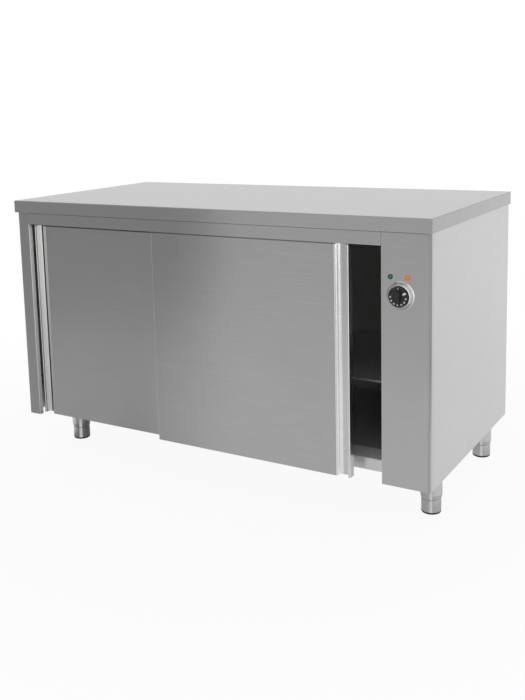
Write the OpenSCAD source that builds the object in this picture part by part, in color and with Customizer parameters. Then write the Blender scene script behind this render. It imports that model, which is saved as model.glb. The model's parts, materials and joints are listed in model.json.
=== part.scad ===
// Stainless hot cupboard: a fan heated chamber behind two roller hung sliding doors,
// a control panel on the right, a plain worktop and four screw feet.
// Sizes in millimetres. The front looks towards -Y and the floor is Z = 0.

/* [Overall] */
// Width of the worktop
worktop_w = 1400; // [1200:10:1800]
// Depth of the worktop
worktop_d = 700; // [650:10:800]
// Height of the worktop above the floor
total_h = 843; // [820:1:900]
// Height of the body's underside above the floor
leg_h = 132; // [125:1:150]

/* [Sheet metal] */
// Thickness of the worktop sheet
worktop_t = 1.2; // [1:0.1:1.4]
// Depth of the worktop's turned down edge
worktop_edge_h = 38; // [32:1:44]
// Width of the hem turned in under that edge
worktop_hem = 4; // [3:0.5:4.5]
// Outside radius of the worktop's bends
worktop_r = 2.5; // [1.5:0.5:4]
// Thickness of the body sheets
skin_t = 1; // [0.8:0.1:1.2]
// Middle radius of the bends in the body sheets
bend_r = 1.5; // [1:0.1:2]
// Overhang of the worktop over the front
overhang = 10; // [9:0.5:16]
// Overhang of the worktop over the sides
side_overhang = 5; // [5:0.5:12]
// Inset of the back under the worktop's rear edge
back_inset = 2; // [1.5:0.5:5]
// Width of the flanges that the side panels turn in
side_flange = 24; // [18:1:28]
// Gap at the ends of the upper flanges, and over the back panel
flange_gap = 2; // [1:0.5:4]
// Clearance of a fixed neck in its hole
hole_gap = 0.2; // [0.1:0.05:0.4]
// Count of stiffeners under the worktop
stiffener_count = 3; // [1:1:4]
// Width of a stiffener's crown
stiffener_w = 60; // [40:1:80]
// Width of a stiffener's flanges
stiffener_flange = 18; // [12:1:24]
// Gap between a stiffener's front end and the ceiling's upstand
stiffener_front = 11; // [2:1:30]
// Gap between a stiffener's rear end and the back panel
stiffener_back = 10; // [2:1:30]

/* [Front] */
// Width of the left stile
stile_w = 43; // [36:1:55]
// Depth of the stile's return
stile_return = 15; // [10:1:30]
// Width of the control panel
panel_w = 135; // [125:1:175]
// Middle radius of the bend at the front right corner
corner_r = 4.5; // [2:0.5:6]
// Width of the right side panel's strip beside the control panel
corner_flange = 8; // [7:0.5:14]
// Height of the fascia that shows under the worktop
fascia_h = 38; // [34:1:50]
// Depth of the fascia's top flange
fascia_flange = 28; // [15:1:40]
// Height of the bottom rail
rail_h = 33; // [28:1:42]
// Depth of the bottom rail's flanges
rail_flange = 30; // [26:1:45]
// Room between the left door's back and the bottom rail
rail_gap = 7; // [4:0.5:12]

/* [Doors] */
// Thickness of a door
door_t = 25; // [24:0.5:27]
// Distance between the faces of the two doors
door_pitch = 32; // [31.5:0.5:36]
// Setback of the right door's face behind the front plane
door_setback = 6; // [5:0.5:10]
// Overlap of the two doors when they are shut
door_overlap = 47; // [36:1:80]
// Length of the left door that tucks behind the stile
door_tuck = 17; // [8:1:20]
// Gap between a door at the end of its travel and what stops it
door_end_gap = 2; // [1:0.5:4]
// How far the right door stands open
right_door_open = 91; // [0:1:300]
// Height of the doors behind the fascia
door_lap = 8; // [5:0.5:10]
// Drop of the doors below the body's underside
door_drop = 5.5; // [4:0.5:7]
// Width of the finger groove
grip_w = 32; // [26:1:40]
// Depth of the finger groove
grip_d = 18; // [14:0.5:18.5]
// Middle radius of the bends at the groove
grip_r = 2.5; // [1.5:0.1:2.8]
// Width of the lip beyond the groove
lip_w = 7; // [6:0.5:12]
// Width of the flanges behind a door
door_flange = 14; // [10:1:20]
// Radius of the left door's rubber buffers
buffer_r = 7; // [5:0.5:9]
// Distance of a buffer from the door's upper or lower edge
buffer_in = 120; // [80:5:200]

/* [Door track] */
// Thickness of the track's walls
track_t = 2; // [1.6:0.1:2.4]
// Width inside one channel of the track
channel_w = 29.6; // [29:0.2:30]
// Height inside the track
channel_h = 26; // [23:0.5:27]
// Width of the slot that the hangers pass through
track_slot = 10; // [9:0.2:10.6]
// Room between the hanger's foot and the track
track_gap = 4; // [2:0.5:5]
// Radius of a roller's tread
roller_r = 9; // [8:0.1:9.5]
// Width of one tread
roller_w = 8; // [7:0.1:8.2]
// Chamfer at a tread's edges
roller_edge = 0.8; // [0.4:0.1:1.2]
// Height of the collars above the axle
collar_h = 2; // [1:0.1:3]
// Room between a tread and the side of its channel
roller_side_gap = 0.8; // [0.4:0.1:1]
// Radius of a roller's axle
axle_r = 3; // [2.5:0.1:3.5]
// Radial clearance of a turning shaft in its bore
run_gap = 0.05; // [0.02:0.01:0.1]
// Clearance of a tread over the track, and of a collar beside a hanger
roll_gap = 0.3; // [0.2:0.05:0.4]
// Thickness of a hanger's stem
hanger_t = 6; // [5:0.2:7]
// Width of a hanger's stem
hanger_w = 20; // [16:1:22]
// Length of a hanger's foot
foot_l = 70; // [50:1:90]
// Width of a hanger's foot
foot_w = 14; // [12:0.5:18]
// Thickness of a hanger's foot
foot_t = 4; // [3:0.5:5]
// Distance of a hanger from the end of its door
hanger_inset = 60; // [50:1:120]

/* [Door guide] */
// Clearance of a fin on each side in the slot under a door
guide_gap = 0.5; // [0.3:0.1:0.8]
// Length of a fin
guide_l = 20; // [14:1:26]
// Height of a fin inside the door
guide_rise = 12; // [8:1:16]
// Thickness of the guide's plate
guide_plate_t = 2; // [1.5:0.1:2.5]
// Gap between the guide's plate and the doors
guide_drop = 1.5; // [1:0.1:2]
// Depth of the channel under a door
guide_channel = 18; // [17:1:22]
// Length of the guide's plate in front of the first fin
guide_lip = 4; // [2:0.5:8]
// Setback of the guide's packer behind the bottom rail's face
guide_packer = 2; // [1:0.5:6]

/* [Chamber] */
// Thickness of the insulation on the left
left_wall = 34; // [28:1:40]
// Thickness of the insulation towards the control compartment
side_wall = 29; // [28:1:36]
// Thickness of the rear insulation
back_wall = 45; // [30:1:60]
// Thickness of the top insulation
top_wall = 38; // [34:1:42]
// Depth of the chamber's ceiling below the fascia's lower edge
ceiling_drop = 2; // [1:0.5:4]
// Gap between the shelf's top and the lower edge of the fan's cover
shelf_drop = 78; // [66:1:130]
// Thickness of the shelf's sheet
shelf_t = 1.2; // [1:0.1:1.5]
// Depth of the shelf's turned down front edge
shelf_lip = 5; // [4:0.5:15]
// Depth of the shelf's turned down rear edge
shelf_edge = 28; // [20:1:35]
// Distance of the shelf's front edge behind the bottom rail
shelf_front = 70; // [40:1:120]
// Gap behind the shelf for the air
shelf_back = 25; // [15:1:60]
// Gap at each end of the shelf
shelf_side = 3; // [2:0.5:6]
// Leg width of the shelf's angle supports
support_w = 20; // [15:1:30]
// Height of the shelf's angle supports
support_h = 30; // [20:1:40]
// Thickness of the shelf's angle supports
support_t = 1.5; // [1.2:0.1:2]

/* [Fan and heater] */
// Gap between the fan's cover and the chamber's ceiling
cover_drop = 42; // [10:1:90]
// Distance of the fan's axis behind the bottom rail
fan_back = 285; // [250:1:320]
// Outside radius of the fan wheel
fan_r = 80; // [74:1:84]
// Inside radius of the blades
fan_inner_r = 45; // [42:1:50]
// Radius of a blade's sweep
blade_r = 40; // [34:1:60]
// Length of the blades along the axis
fan_blade_h = 24; // [18:1:26]
// Thickness of the fan's sheet
fan_t = 1.4; // [1:0.1:1.8]
// Count of blades
fan_blades = 18; // [10:1:24]
// Gap between the fan wheel and the chamber wall
fan_gap = 11; // [8:0.5:14]
// Width of the wheel's front ring
fan_ring_w = 18; // [10:1:24]
// Radius of the fan's shaft
fan_shaft_r = 4; // [3:0.5:5]
// Wall of the wheel's hub round the shaft
fan_hub_w = 8; // [5:0.5:12]
// Length of the hub behind the back disc
fan_hub_l = 4; // [2:0.5:8]
// Gap between the shaft's end and the end of its bore
shaft_end_gap = 3; // [1:0.5:6]
// Radius of the holes in the walls round the shaft
fan_hole_r = 10; // [8:0.5:14]
// Radius of the motor's flange
motor_flange_r = 52; // [46:1:58]
// Radius of the motor's body
motor_r = 38; // [34:1:44]
// Length of the motor's body
motor_l = 62; // [50:1:70]
// Thickness of the motor's flange
motor_flange_t = 3; // [2:0.5:5]
// Wall between the shaft's bore and the motor's end
motor_end = 11; // [6:0.5:16]
// Count of cooling fins round the motor
motor_fins = 12; // [8:1:20]
// Height of a cooling fin
motor_fin_h = 4; // [2:0.5:6]
// Thickness of a cooling fin
motor_fin_t = 3; // [2:0.5:4]
// Distance of the cooling fins from the ends of the motor's body
motor_fin_in = 9; // [4:0.5:14]
// Height of the motor's end cap
motor_cap_h = 8; // [4:0.5:14]
// Radius of the heating ring
heater_ring_r = 104; // [98:1:110]
// Radius of the heating ring's tube
heater_tube_r = 4.2; // [3.5:0.1:5]
// Half angle of the gap between the ring's ends
heater_gap = 15; // [10:1:25]
// Margin of the heater's flange round its two legs
heater_flange_w = 12; // [8:0.5:14]
// Thickness of the heater's flange
heater_flange_t = 3; // [2:0.5:5]
// Half width of the square cover over the fan
cover_half = 140; // [130:1:144]
// Depth of the cover over the fan
cover_d = 46; // [44:1:52]
// Radius of the cover's intake field
intake_r = 66; // [56:1:70]
// Radius of one intake hole
intake_hole_r = 5; // [4:0.2:5.4]
// Distance between intake holes
intake_pitch = 15; // [14:0.5:18]
// Length of an outlet slot in the cover's rim
outlet_l = 32; // [20:1:38]
// Width of an outlet slot
outlet_w = 12; // [6:0.5:20]
// Distance between outlet slots
outlet_pitch = 44; // [40:1:50]
// Count of outlet slots on each side
outlet_count = 5; // [3:1:5]

/* [Controls] */
// Distance of the knob's centre from the control panel's left edge
knob_x = 53; // [46:0.5:80]
// Height of the knob's centre below the worktop
knob_down = 201.5; // [150:0.5:260]
// Radius of the knob's disc
knob_r = 26; // [24:0.5:27]
// Thickness of the knob's disc
knob_disc_t = 15.5; // [13:0.5:18]
// Chamfer at the edge of the knob's disc
knob_edge = 1.5; // [0.5:0.1:2.5]
// Height of the knob's bar above its disc
knob_bar_h = 9; // [7:0.5:12]
// Width of the knob's bar
knob_bar_w = 11; // [8:0.5:14]
// Setback of the bar's ends inside the disc's edge
knob_bar_in = 10.5; // [8:0.5:14]
// Gap between the knob's disc and the panel
knob_gap = 1.2; // [0.8:0.1:2]
// Radius of the spindle
spindle_r = 3; // [2.5:0.1:3.5]
// Outside radius of the bezel ring
bezel_r = 37.5; // [35.5:0.5:40]
// Inside radius of the bezel ring
bezel_inner_r = 27.6; // [27.4:0.1:28.2]
// Thickness of the bezel ring
bezel_t = 13; // [10:0.5:13.5]
// Height of the bezel ring's outer edge, and its inner chamfer
bezel_edge = 1; // [0.5:0.1:1.5]
// Width of the bezel ring's outer slope
bezel_slope = 8.5; // [5:0.5:8.5]
// Width of the thermostat's case
thermostat_w = 44; // [36:1:52]
// Depth of the thermostat's case
thermostat_d = 34; // [26:1:44]
// Radius of the thermostat's neck through the panel
neck_r = 5; // [4.5:0.1:6]
// Height of the lamps above the knob's centre
lamp_up = 47.5; // [44:0.5:70]
// Distance between the lamps
lamp_pitch = 47; // [30:0.5:60]
// Distance of the lamps' middle left of the knob's centre
lamp_left = 3.5; // [0:0.5:8]
// Radius of a lamp's neck through the panel
lamp_neck_r = 5; // [4:0.1:5.5]
// Radius of a lamp's lens
lamp_r = 6; // [5.8:0.1:8]
// Height of a lamp's lens
lamp_h = 4; // [3:0.5:6]
// Width of the rim round a lens
lamp_rim = 0.8; // [0.5:0.1:2]
// Thickness of that rim
lamp_rim_t = 1; // [0.6:0.1:2]
// Length of a lamp's neck behind the panel's face
lamp_l = 22; // [14:0.5:34]
// Thickness of the nut on a lamp's neck
lamp_nut_t = 4; // [2:0.5:6]
// Margin of that nut round the neck
lamp_nut_w = 3; // [2:0.5:5]

/* [Rear] */
// Bore radius of the cable gland
gland_bore_r = 5; // [4:0.1:6]
// Wall of the cable gland round its bore
gland_wall = 3; // [2:0.5:4]
// Outside radius of the cable gland's collar
gland_r = 13; // [11:0.5:16]
// Height of that collar
gland_collar = 6; // [4:0.5:9]
// Length of the cable gland outside the back
gland_l = 15; // [12:0.5:20]
// Length of the cable gland's neck inside the back
gland_in = 12; // [9:0.5:18]
// Thickness of the nut on that neck
gland_nut = 6; // [4:0.5:8]
// Height of the cable gland above the body's underside
gland_up = 70; // [40:1:120]
// Distance of the gland and the vents from the right side
rear_x = 69; // [60:1:75]
// Width of the terminal block
terminal_w = 80; // [60:1:110]
// Depth of the terminal block
terminal_d = 30; // [24:1:40]
// Height of the terminal block
terminal_h = 28; // [20:1:40]
// Gap between the terminal block and the back panel
terminal_back = 80; // [20:1:150]
// Count of terminals
terminal_count = 5; // [3:1:6]
// Distance between terminals
terminal_pitch = 15; // [12:0.5:16]
// Radius of a terminal's well
terminal_r = 4; // [3:0.1:5]
// Depth of a terminal's well
terminal_well = 16; // [8:0.5:18]
// Height of the lowest vent slot above the body's underside
vent_up = 286; // [200:1:420]
// Count of vent slots in the back
vent_count = 9; // [4:1:12]
// Length of a vent slot
vent_l = 60; // [40:1:70]
// Height of a vent slot
vent_h = 4; // [3:0.5:6]
// Distance between vent slots
vent_pitch = 14; // [10:0.5:20]

/* [Feet] */
// Distance of a leg's axis from the worktop's side
leg_x = 67; // [66:1:100]
// Distance of a front leg's axis from the worktop's front
leg_front = 186; // [150:1:220]
// Distance of a rear leg's axis from the worktop's back
leg_back = 50; // [46:1:90]
// Outside radius of a leg's sleeve
sleeve_r = 30.5; // [29:0.5:32]
// Radius at the tapered lower end of the sleeve
sleeve_end_r = 28.3; // [27.5:0.1:28.8]
// Height of that taper
sleeve_taper = 12; // [8:1:18]
// Wall of the sleeve
sleeve_wall = 2; // [1.5:0.1:3]
// Half width of a leg's top plate
leg_plate = 34; // [31:0.5:34]
// Thickness of a leg's top plate
leg_plate_t = 3; // [2:0.5:4]
// Height of the foot below the sleeve
foot_h = 43; // [40:1:60]
// Radius of the foot
screw_foot_r = 27.5; // [24:0.5:28]
// Chamfer at the foot's upper edge
foot_edge = 2; // [1:0.5:3]
// Height of the foot's rounded sole
foot_sole = 4; // [2:0.5:6]
// Radius of the foot's screw
screw_r = 10; // [8:0.5:12]
// Length of the screw inside the sleeve
screw_l = 66; // [55:1:70]
// Length of the threaded bush in the sleeve
bush_l = 26; // [20:1:30]

/* [Hidden] */
$fn = 64;

// How far a cut runs past the face that it opens
cut = 1;

// Outer planes of the body, from the worktop's front left corner
half_t = skin_t / 2;
under = total_h - worktop_t;
edge_z = total_h - worktop_edge_h;
body_l = side_overhang;
body_r = worktop_w - side_overhang;
body_f = overhang;
body_b = worktop_d - back_inset;
open_l = body_l + stile_w;
stile_end = open_l - half_t - bend_r;
open_r = body_r - panel_w;
back_in = body_b - 2 * skin_t;

// Doors: their planes, their size and where they stand
fascia_z = edge_z - fascia_h;
door_top = fascia_z + door_lap;
door_z = leg_h - door_drop;
door_h = door_top - door_z;
right_y = body_f + door_setback;
left_y = right_y + door_pitch;
left_x = open_l - door_tuck;
door_w = (open_r - door_end_gap - left_x + door_overlap) / 2;
right_shut_x = open_r - door_end_gap - door_w;
right_x = right_shut_x - right_door_open;
lip_u = door_w - lip_w;
grip_u = lip_u - grip_w;
rail_f = left_y + door_t + rail_gap;
rail_top = leg_h + rail_h;

// Track and rollers
track_z = door_top + foot_t + track_gap;
axle_z = track_z + track_t + roll_gap + roller_r;
track_y1 = right_y + door_t / 2;
track_y2 = left_y + door_t / 2;
track_b = track_y2 + channel_w / 2 + track_t;
guide_v0 = grip_d + skin_t;
guide_v1 = door_t - 2 * skin_t;
tread_out = channel_w / 2 - roller_side_gap;
tread_in = tread_out - roller_w;

// Chamber
pan_z = leg_h + skin_t;
floor_z = rail_top + skin_t;
ceiling_z = fascia_z - ceiling_drop;
inner_l = body_l + skin_t + left_wall;
inner_r = open_r - side_wall - skin_t;
chamber_b = back_in - back_wall - skin_t;
panel_return = rail_f + rail_flange + skin_t;
shelf_z = ceiling_z - cover_drop - 2 * cover_half - shelf_drop;
shelf_y = rail_f + shelf_front;
shelf_d = chamber_b - shelf_back - shelf_y;
insulation_top_z = ceiling_z + skin_t + top_wall;

// Fan: its axis and the plane of its back disc
fan_y = rail_f + fan_back;
fan_z = ceiling_z - cover_drop - cover_half;
fan_disc_x = inner_r - fan_gap;
motor_x = open_r + skin_t;

// Controls
dial_x = open_r + knob_x;
dial_z = total_h - knob_down;
lamp_x = dial_x - lamp_left;
lamp_z = dial_z + lamp_up;

// The whole cupboard is drawn from the worktop's front left corner
module place() {
    translate([-worktop_w / 2, -worktop_d / 2, 0]) children();
}

// A sheet of thickness t folded square along the points, with middle bend radius r, or one r for each point
module folded(pts, t, r) {
    n = len(pts);
    radii = [for (i = [0 : n - 1]) is_list(r) ? r[i] : r];
    for (i = [0 : n - 2]) {
        d = (pts[i + 1] - pts[i]) / norm(pts[i + 1] - pts[i]);
        a = i > 0 ? pts[i] + d * radii[i] : pts[i];
        b = i < n - 2 ? pts[i + 1] - d * radii[i + 1] : pts[i + 1];
        flat = abs(d[0]) > 0.5;
        lo = [min(a[0], b[0]), min(a[1], b[1])] - (flat ? [0, t / 2] : [t / 2, 0]);
        translate(lo) square(flat ? [abs(b[0] - a[0]), t] : [t, abs(b[1] - a[1])]);
    }
    for (i = [1 : n - 2]) {
        e = (pts[i] - pts[i - 1]) / norm(pts[i] - pts[i - 1]);
        f = (pts[i + 1] - pts[i]) / norm(pts[i + 1] - pts[i]);
        c = pts[i] + (f - e) * radii[i];
        s = e - f;
        q = radii[i] + t;
        intersection() {
            translate(c) difference() {
                circle(radii[i] + t / 2);
                circle(radii[i] - t / 2);
            }
            translate([s[0] > 0 ? c[0] : c[0] - q, s[1] > 0 ? c[1] : c[1] - q]) square(q);
        }
    }
}

// A profile in Y and Z, drawn out along X
module along_x(x0, x1) {
    translate([x0, 0, 0]) rotate([90, 0, 90]) linear_extrude(x1 - x0) children();
}

// A profile in X and Z, drawn out along Y
module along_y(y0, y1) {
    translate([0, y1, 0]) rotate([90, 0, 0]) linear_extrude(y1 - y0) children();
}

// A box between two corners
module box(lo, hi) {
    translate(lo) cube(hi - lo);
}

// The quarter of a disc with its corner at the origin
module quarter(r) {
    intersection() {
        circle(r);
        square(r);
    }
}

// A plate w wide and h high with its two upper corners rounded
module crowned(w, h, r) {
    square([w, h - r]);
    translate([r, h - r]) square([w - 2 * r, r]);
    translate([r, h - r]) mirror([1, 0]) quarter(r);
    translate([w - r, h - r]) quarter(r);
}

module worktop() {
    color("silver") place() difference() {
        intersection() {
            along_x(0, worktop_w) translate([0, edge_z]) crowned(worktop_d, worktop_edge_h, worktop_r);
            along_y(0, worktop_d) translate([0, edge_z]) crowned(worktop_w, worktop_edge_h, worktop_r);
        }
        box([worktop_t, worktop_t, edge_z + worktop_t],
            [worktop_w - worktop_t, worktop_d - worktop_t, under]);
        box([worktop_hem, worktop_hem, edge_z - cut],
            [worktop_w - worktop_hem, worktop_d - worktop_t, edge_z + worktop_t + cut]);
    }
}

// Hat sections between the insulation and the worktop
module worktop_stiffeners() {
    w = stiffener_w / 2;
    top = under - insulation_top_z - half_t;
    color("darkgray") place() for (i = [1 : stiffener_count]) {
        x = inner_l + (inner_r - inner_l) * i / (stiffener_count + 1);
        along_y(track_b + skin_t + stiffener_front, back_in - stiffener_back) translate([x, insulation_top_z])
            folded([[-w - stiffener_flange, half_t], [-w, half_t], [-w, top],
                [w, top], [w, half_t], [w + stiffener_flange, half_t]], skin_t, bend_r);
    }
}

// The stile is bent back as far up as the doors show, and the fascia carries on its face above them
module left_side_panel() {
    color("gainsboro") place() {
        difference() {
            translate([0, 0, leg_h]) linear_extrude(under - leg_h)
                folded([[body_l + side_flange, body_b - half_t], [body_l + half_t, body_b - half_t],
                    [body_l + half_t, body_f + half_t], [open_l - half_t, body_f + half_t],
                    [open_l - half_t, body_f + stile_return]], skin_t, bend_r);
            box([stile_end, body_f - cut, fascia_z],
                [open_l + cut, body_f + stile_return + cut, under + cut]);
        }
        box([body_l + half_t, track_b + skin_t + flange_gap, under - skin_t],
            [body_l + side_flange, back_in - flange_gap, under]);
        box([body_l + half_t, panel_return, leg_h], [body_l + side_flange, back_in, leg_h + skin_t]);
    }
}

module right_side_panel() {
    color("gainsboro") place() {
        translate([0, 0, leg_h]) linear_extrude(under - leg_h)
            folded([[body_r - side_flange, body_b - half_t], [body_r - half_t, body_b - half_t],
                [body_r - half_t, body_f + half_t], [body_r - corner_flange, body_f + half_t]],
                skin_t, [0, bend_r, corner_r, 0]);
        box([body_r - side_flange, track_b + skin_t + flange_gap, under - skin_t],
            [body_r - half_t, back_in - flange_gap, under]);
        box([body_r - side_flange, panel_return, leg_h], [body_r - half_t, back_in, leg_h + skin_t]);
    }
}

// Front of the control compartment, with the jamb that the right door shuts against
module control_panel() {
    color("lightgray") place() difference() {
        translate([0, 0, leg_h]) linear_extrude(under - leg_h)
            folded([[open_r + half_t, panel_return], [open_r + half_t, body_f + half_t],
                [body_r - corner_flange, body_f + half_t]], skin_t, bend_r);
        translate([dial_x, body_f - cut, dial_z]) rotate([-90, 0, 0])
            cylinder(r = neck_r + hole_gap, h = skin_t + 2 * cut);
        for (s = [-1, 1]) translate([lamp_x + s * lamp_pitch / 2, body_f - cut, lamp_z])
            rotate([-90, 0, 0]) cylinder(r = lamp_neck_r + hole_gap, h = skin_t + 2 * cut);
    }
}

module back_panel() {
    color("silver") place() difference() {
        box([body_l + skin_t + bend_r, back_in, pan_z],
            [body_r - skin_t - bend_r, back_in + skin_t, under - flange_gap]);
        translate([body_r - rear_x, back_in - cut, leg_h + gland_up]) rotate([-90, 0, 0])
            cylinder(r = gland_bore_r + gland_wall + hole_gap, h = skin_t + 2 * cut);
        for (i = [0 : vent_count - 1]) along_y(back_in - cut, back_in + skin_t + cut)
            translate([body_r - rear_x - vent_l / 2, leg_h + vent_up + i * vent_pitch - vent_h / 2])
                square([vent_l, vent_h]);
    }
}

// Underside of the body, carried by the rail and the side panels
module base_pan() {
    color("gray") place() {
        box([body_l + skin_t, rail_f + skin_t + bend_r, pan_z], [open_r, back_in, pan_z + skin_t]);
        box([open_r, panel_return, pan_z], [body_r - skin_t, back_in, pan_z + skin_t]);
        box([open_r + skin_t + bend_r, body_f + skin_t, pan_z],
            [body_r - skin_t - corner_r, panel_return, pan_z + skin_t]);
    }
}

module front_fascia() {
    color("silver") place() along_x(stile_end, open_r)
        folded([[body_f + half_t, fascia_z], [body_f + half_t, under - half_t],
            [body_f + fascia_flange, under - half_t]], skin_t, bend_r);
}

module bottom_rail() {
    color("silver") place() along_x(body_l + skin_t, open_r)
        folded([[rail_f + rail_flange, rail_top - half_t], [rail_f + half_t, rail_top - half_t],
            [rail_f + half_t, leg_h + half_t], [rail_f + rail_flange, leg_h + half_t]], skin_t, bend_r);
}

// Two channels side by side, slotted below, held between the fascia and the ceiling's upstand
module upper_track() {
    color("lightsteelblue") place() along_x(open_l, open_r) difference() {
        translate([body_f + skin_t, track_z])
            square([track_b - body_f - skin_t, channel_h + 2 * track_t]);
        for (y = [track_y1, track_y2]) {
            translate([y - channel_w / 2, track_z + track_t]) square([channel_w, channel_h]);
            translate([y - track_slot / 2, track_z - cut]) square([track_slot, track_t + 2 * cut]);
        }
    }
}

module inner_ceiling() {
    color("gray") place() along_x(body_l + skin_t, open_r)
        folded([[track_b + half_t, under], [track_b + half_t, ceiling_z + half_t],
            [back_in, ceiling_z + half_t]], skin_t, bend_r);
}

// Floor of the chamber, between the walls
module inner_floor() {
    color("gray") place() box([inner_l + skin_t, rail_f, rail_top], [inner_r, chamber_b, floor_z]);
}

module inner_left_wall() {
    color("gray") place() translate([0, 0, rail_top]) linear_extrude(ceiling_z - rail_top)
        folded([[body_l + skin_t, rail_f + half_t], [inner_l + half_t, rail_f + half_t],
            [inner_l + half_t, back_in]], skin_t, bend_r);
}

module inner_right_wall() {
    color("gray") place() difference() {
        translate([0, 0, rail_top]) linear_extrude(ceiling_z - rail_top)
            folded([[open_r, rail_f + half_t], [inner_r + half_t, rail_f + half_t],
                [inner_r + half_t, back_in]], skin_t, bend_r);
        fan_bore(fan_hole_r);
    }
}

module inner_back_wall() {
    color("gray") place()
        box([inner_l + skin_t, chamber_b, rail_top], [inner_r, chamber_b + skin_t, ceiling_z]);
}

// Wall between the chamber's insulation and the control compartment
module partition() {
    color("gray") place() difference() {
        box([open_r, panel_return, pan_z + skin_t], [open_r + skin_t, back_in, ceiling_z]);
        fan_bore(fan_hole_r);
    }
}

// A hole along the fan's axis through the right hand walls
module fan_bore(r) {
    translate([inner_r - cut, fan_y, fan_z]) rotate([0, 90, 0])
        cylinder(r = r, h = side_wall + 2 * (skin_t + cut));
}

module insulation_left() {
    color("khaki") place()
        box([body_l + skin_t, rail_f + 2 * skin_t, rail_top], [inner_l, back_in, ceiling_z]);
}

module insulation_right() {
    color("khaki") place() difference() {
        box([inner_r + skin_t, rail_f + 2 * skin_t, rail_top], [open_r, back_in, ceiling_z]);
        fan_bore(fan_hole_r);
    }
}

module insulation_back() {
    color("khaki") place()
        box([inner_l + skin_t, chamber_b + skin_t, rail_top], [inner_r, back_in, ceiling_z]);
}

module insulation_base() {
    color("khaki") place()
        box([body_l + skin_t, rail_f + rail_flange + skin_t, pan_z + skin_t], [open_r, back_in, rail_top]);
}

module insulation_top() {
    color("khaki") place()
        box([inner_l, track_b + 2 * skin_t, ceiling_z + skin_t], [open_r, back_in, insulation_top_z]);
}

// Sheet with its front and rear edges turned down, laid on the two angles
module shelf() {
    color("lightgray") place() along_x(inner_l + skin_t + shelf_side, inner_r - shelf_side)
        folded([[shelf_y + shelf_t / 2, shelf_z - shelf_lip], [shelf_y + shelf_t / 2, shelf_z - shelf_t / 2],
            [shelf_y + shelf_d - shelf_t / 2, shelf_z - shelf_t / 2],
            [shelf_y + shelf_d - shelf_t / 2, shelf_z - shelf_edge]], shelf_t, bend_r);
}

// Angle with its upper leg under the shelf and its other leg on the wall, at the origin
module support_angle() {
    top = shelf_z - shelf_t;
    inset = 2 * shelf_t + bend_r;
    along_y(shelf_y + inset, shelf_y + shelf_d - inset)
        folded([[support_t / 2, top - support_h], [support_t / 2, top - support_t / 2],
            [support_w, top - support_t / 2]], support_t, bend_r);
}

module shelf_support_left() {
    color("darkgray") place() translate([inner_l + skin_t, 0, 0]) support_angle();
}

module shelf_support_right() {
    color("darkgray") place() translate([inner_r, 0, 0]) mirror([1, 0, 0]) support_angle();
}

// Plate under the bottom rail with one fin for each door
module door_guide() {
    x = (right_shut_x + left_x + door_w) / 2;
    top = door_z - guide_drop;
    color("dimgray") place() translate([x, 0, 0]) {
        box([-guide_l, right_y + guide_v0 - guide_lip, top - guide_plate_t],
            [guide_l, rail_f + rail_flange, top]);
        box([-guide_l, rail_f + guide_packer, top], [guide_l, rail_f + rail_flange, leg_h]);
        for (y = [right_y, left_y])
            box([-guide_l / 2, y + guide_v0 + guide_gap, top - guide_plate_t / 2],
                [guide_l / 2, y + guide_v1 - guide_gap, door_z + guide_rise]);
    }
}

// Rubber stops inside the left side panel, where the left door comes to rest
module door_buffers() {
    color("dimgray") place() for (z = [door_z + buffer_in, door_top - buffer_in])
        translate([body_l + skin_t, track_y2, z]) rotate([0, 90, 0])
            cylinder(r = buffer_r, h = left_x - door_end_gap - body_l - skin_t);
}

// Area enclosed by a door's folded skin
module door_cap() {
    translate([skin_t, skin_t]) square([grip_u - 2 * skin_t, door_t - 2 * skin_t]);
    translate([grip_u - skin_t, grip_d + skin_t]) square([grip_w + 2 * skin_t, door_t - 2 * skin_t - grip_d]);
    translate([lip_u + skin_t, skin_t]) square([lip_w - 2 * skin_t, door_t - 2 * skin_t]);
}

// Front, finger groove, lip and edges of a door in one folded sheet, grip at the far end of U
module door_skin() {
    h = half_t;
    b = bend_r;
    g = grip_r;
    translate([0, 0, door_z]) {
        linear_extrude(door_h)
            folded([[door_flange, door_t - h], [h, door_t - h], [h, h], [grip_u - h, h],
                [grip_u - h, grip_d + h], [lip_u + h, grip_d + h], [lip_u + h, h],
                [door_w - h, h], [door_w - h, door_t - h], [door_w - door_flange, door_t - h]],
                skin_t, [0, b, b, g, g, g, g, b, b, 0]);
        translate([0, 0, door_h - skin_t]) linear_extrude(skin_t) door_cap();
        linear_extrude(skin_t) difference() {
            door_cap();
            translate([skin_t, guide_v0]) square([door_w - 2 * skin_t, guide_v1 - guide_v0]);
        }
        box([skin_t, grip_d, 0], [grip_u + skin_t, guide_v0, guide_channel]);
    }
}

// Inner sheet of a door, laid against the skin's flanges
module door_liner() {
    box([2 * skin_t + bend_r, door_t - 2 * skin_t, door_z + skin_t],
        [door_w - 2 * skin_t - bend_r, door_t - skin_t, door_top - skin_t]);
}

module door_core() {
    box([2 * skin_t + bend_r, skin_t, door_z + guide_channel + skin_t],
        [grip_u - 2 * skin_t - bend_r, door_t - 2 * skin_t, door_top - skin_t]);
}

// Hanger on the door's top edge, with the roller's bore at its head
module hanger() {
    head = axle_z - door_top;
    difference() {
        union() {
            box([-foot_l / 2, -foot_w / 2, 0], [foot_l / 2, foot_w / 2, foot_t]);
            along_y(-hanger_t / 2, hanger_t / 2) {
                translate([-hanger_w / 2, 0]) square([hanger_w, head]);
                translate([0, head]) quarter(hanger_w / 2);
                translate([0, head]) mirror([1, 0]) quarter(hanger_w / 2);
            }
        }
        translate([0, -hanger_t, head]) rotate([-90, 0, 0]) cylinder(r = axle_r + run_gap, h = 2 * hanger_t);
    }
}

module door_hangers() {
    for (u = [hanger_inset, door_w - hanger_inset])
        translate([u, door_t / 2, door_top]) hanger();
}

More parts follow.
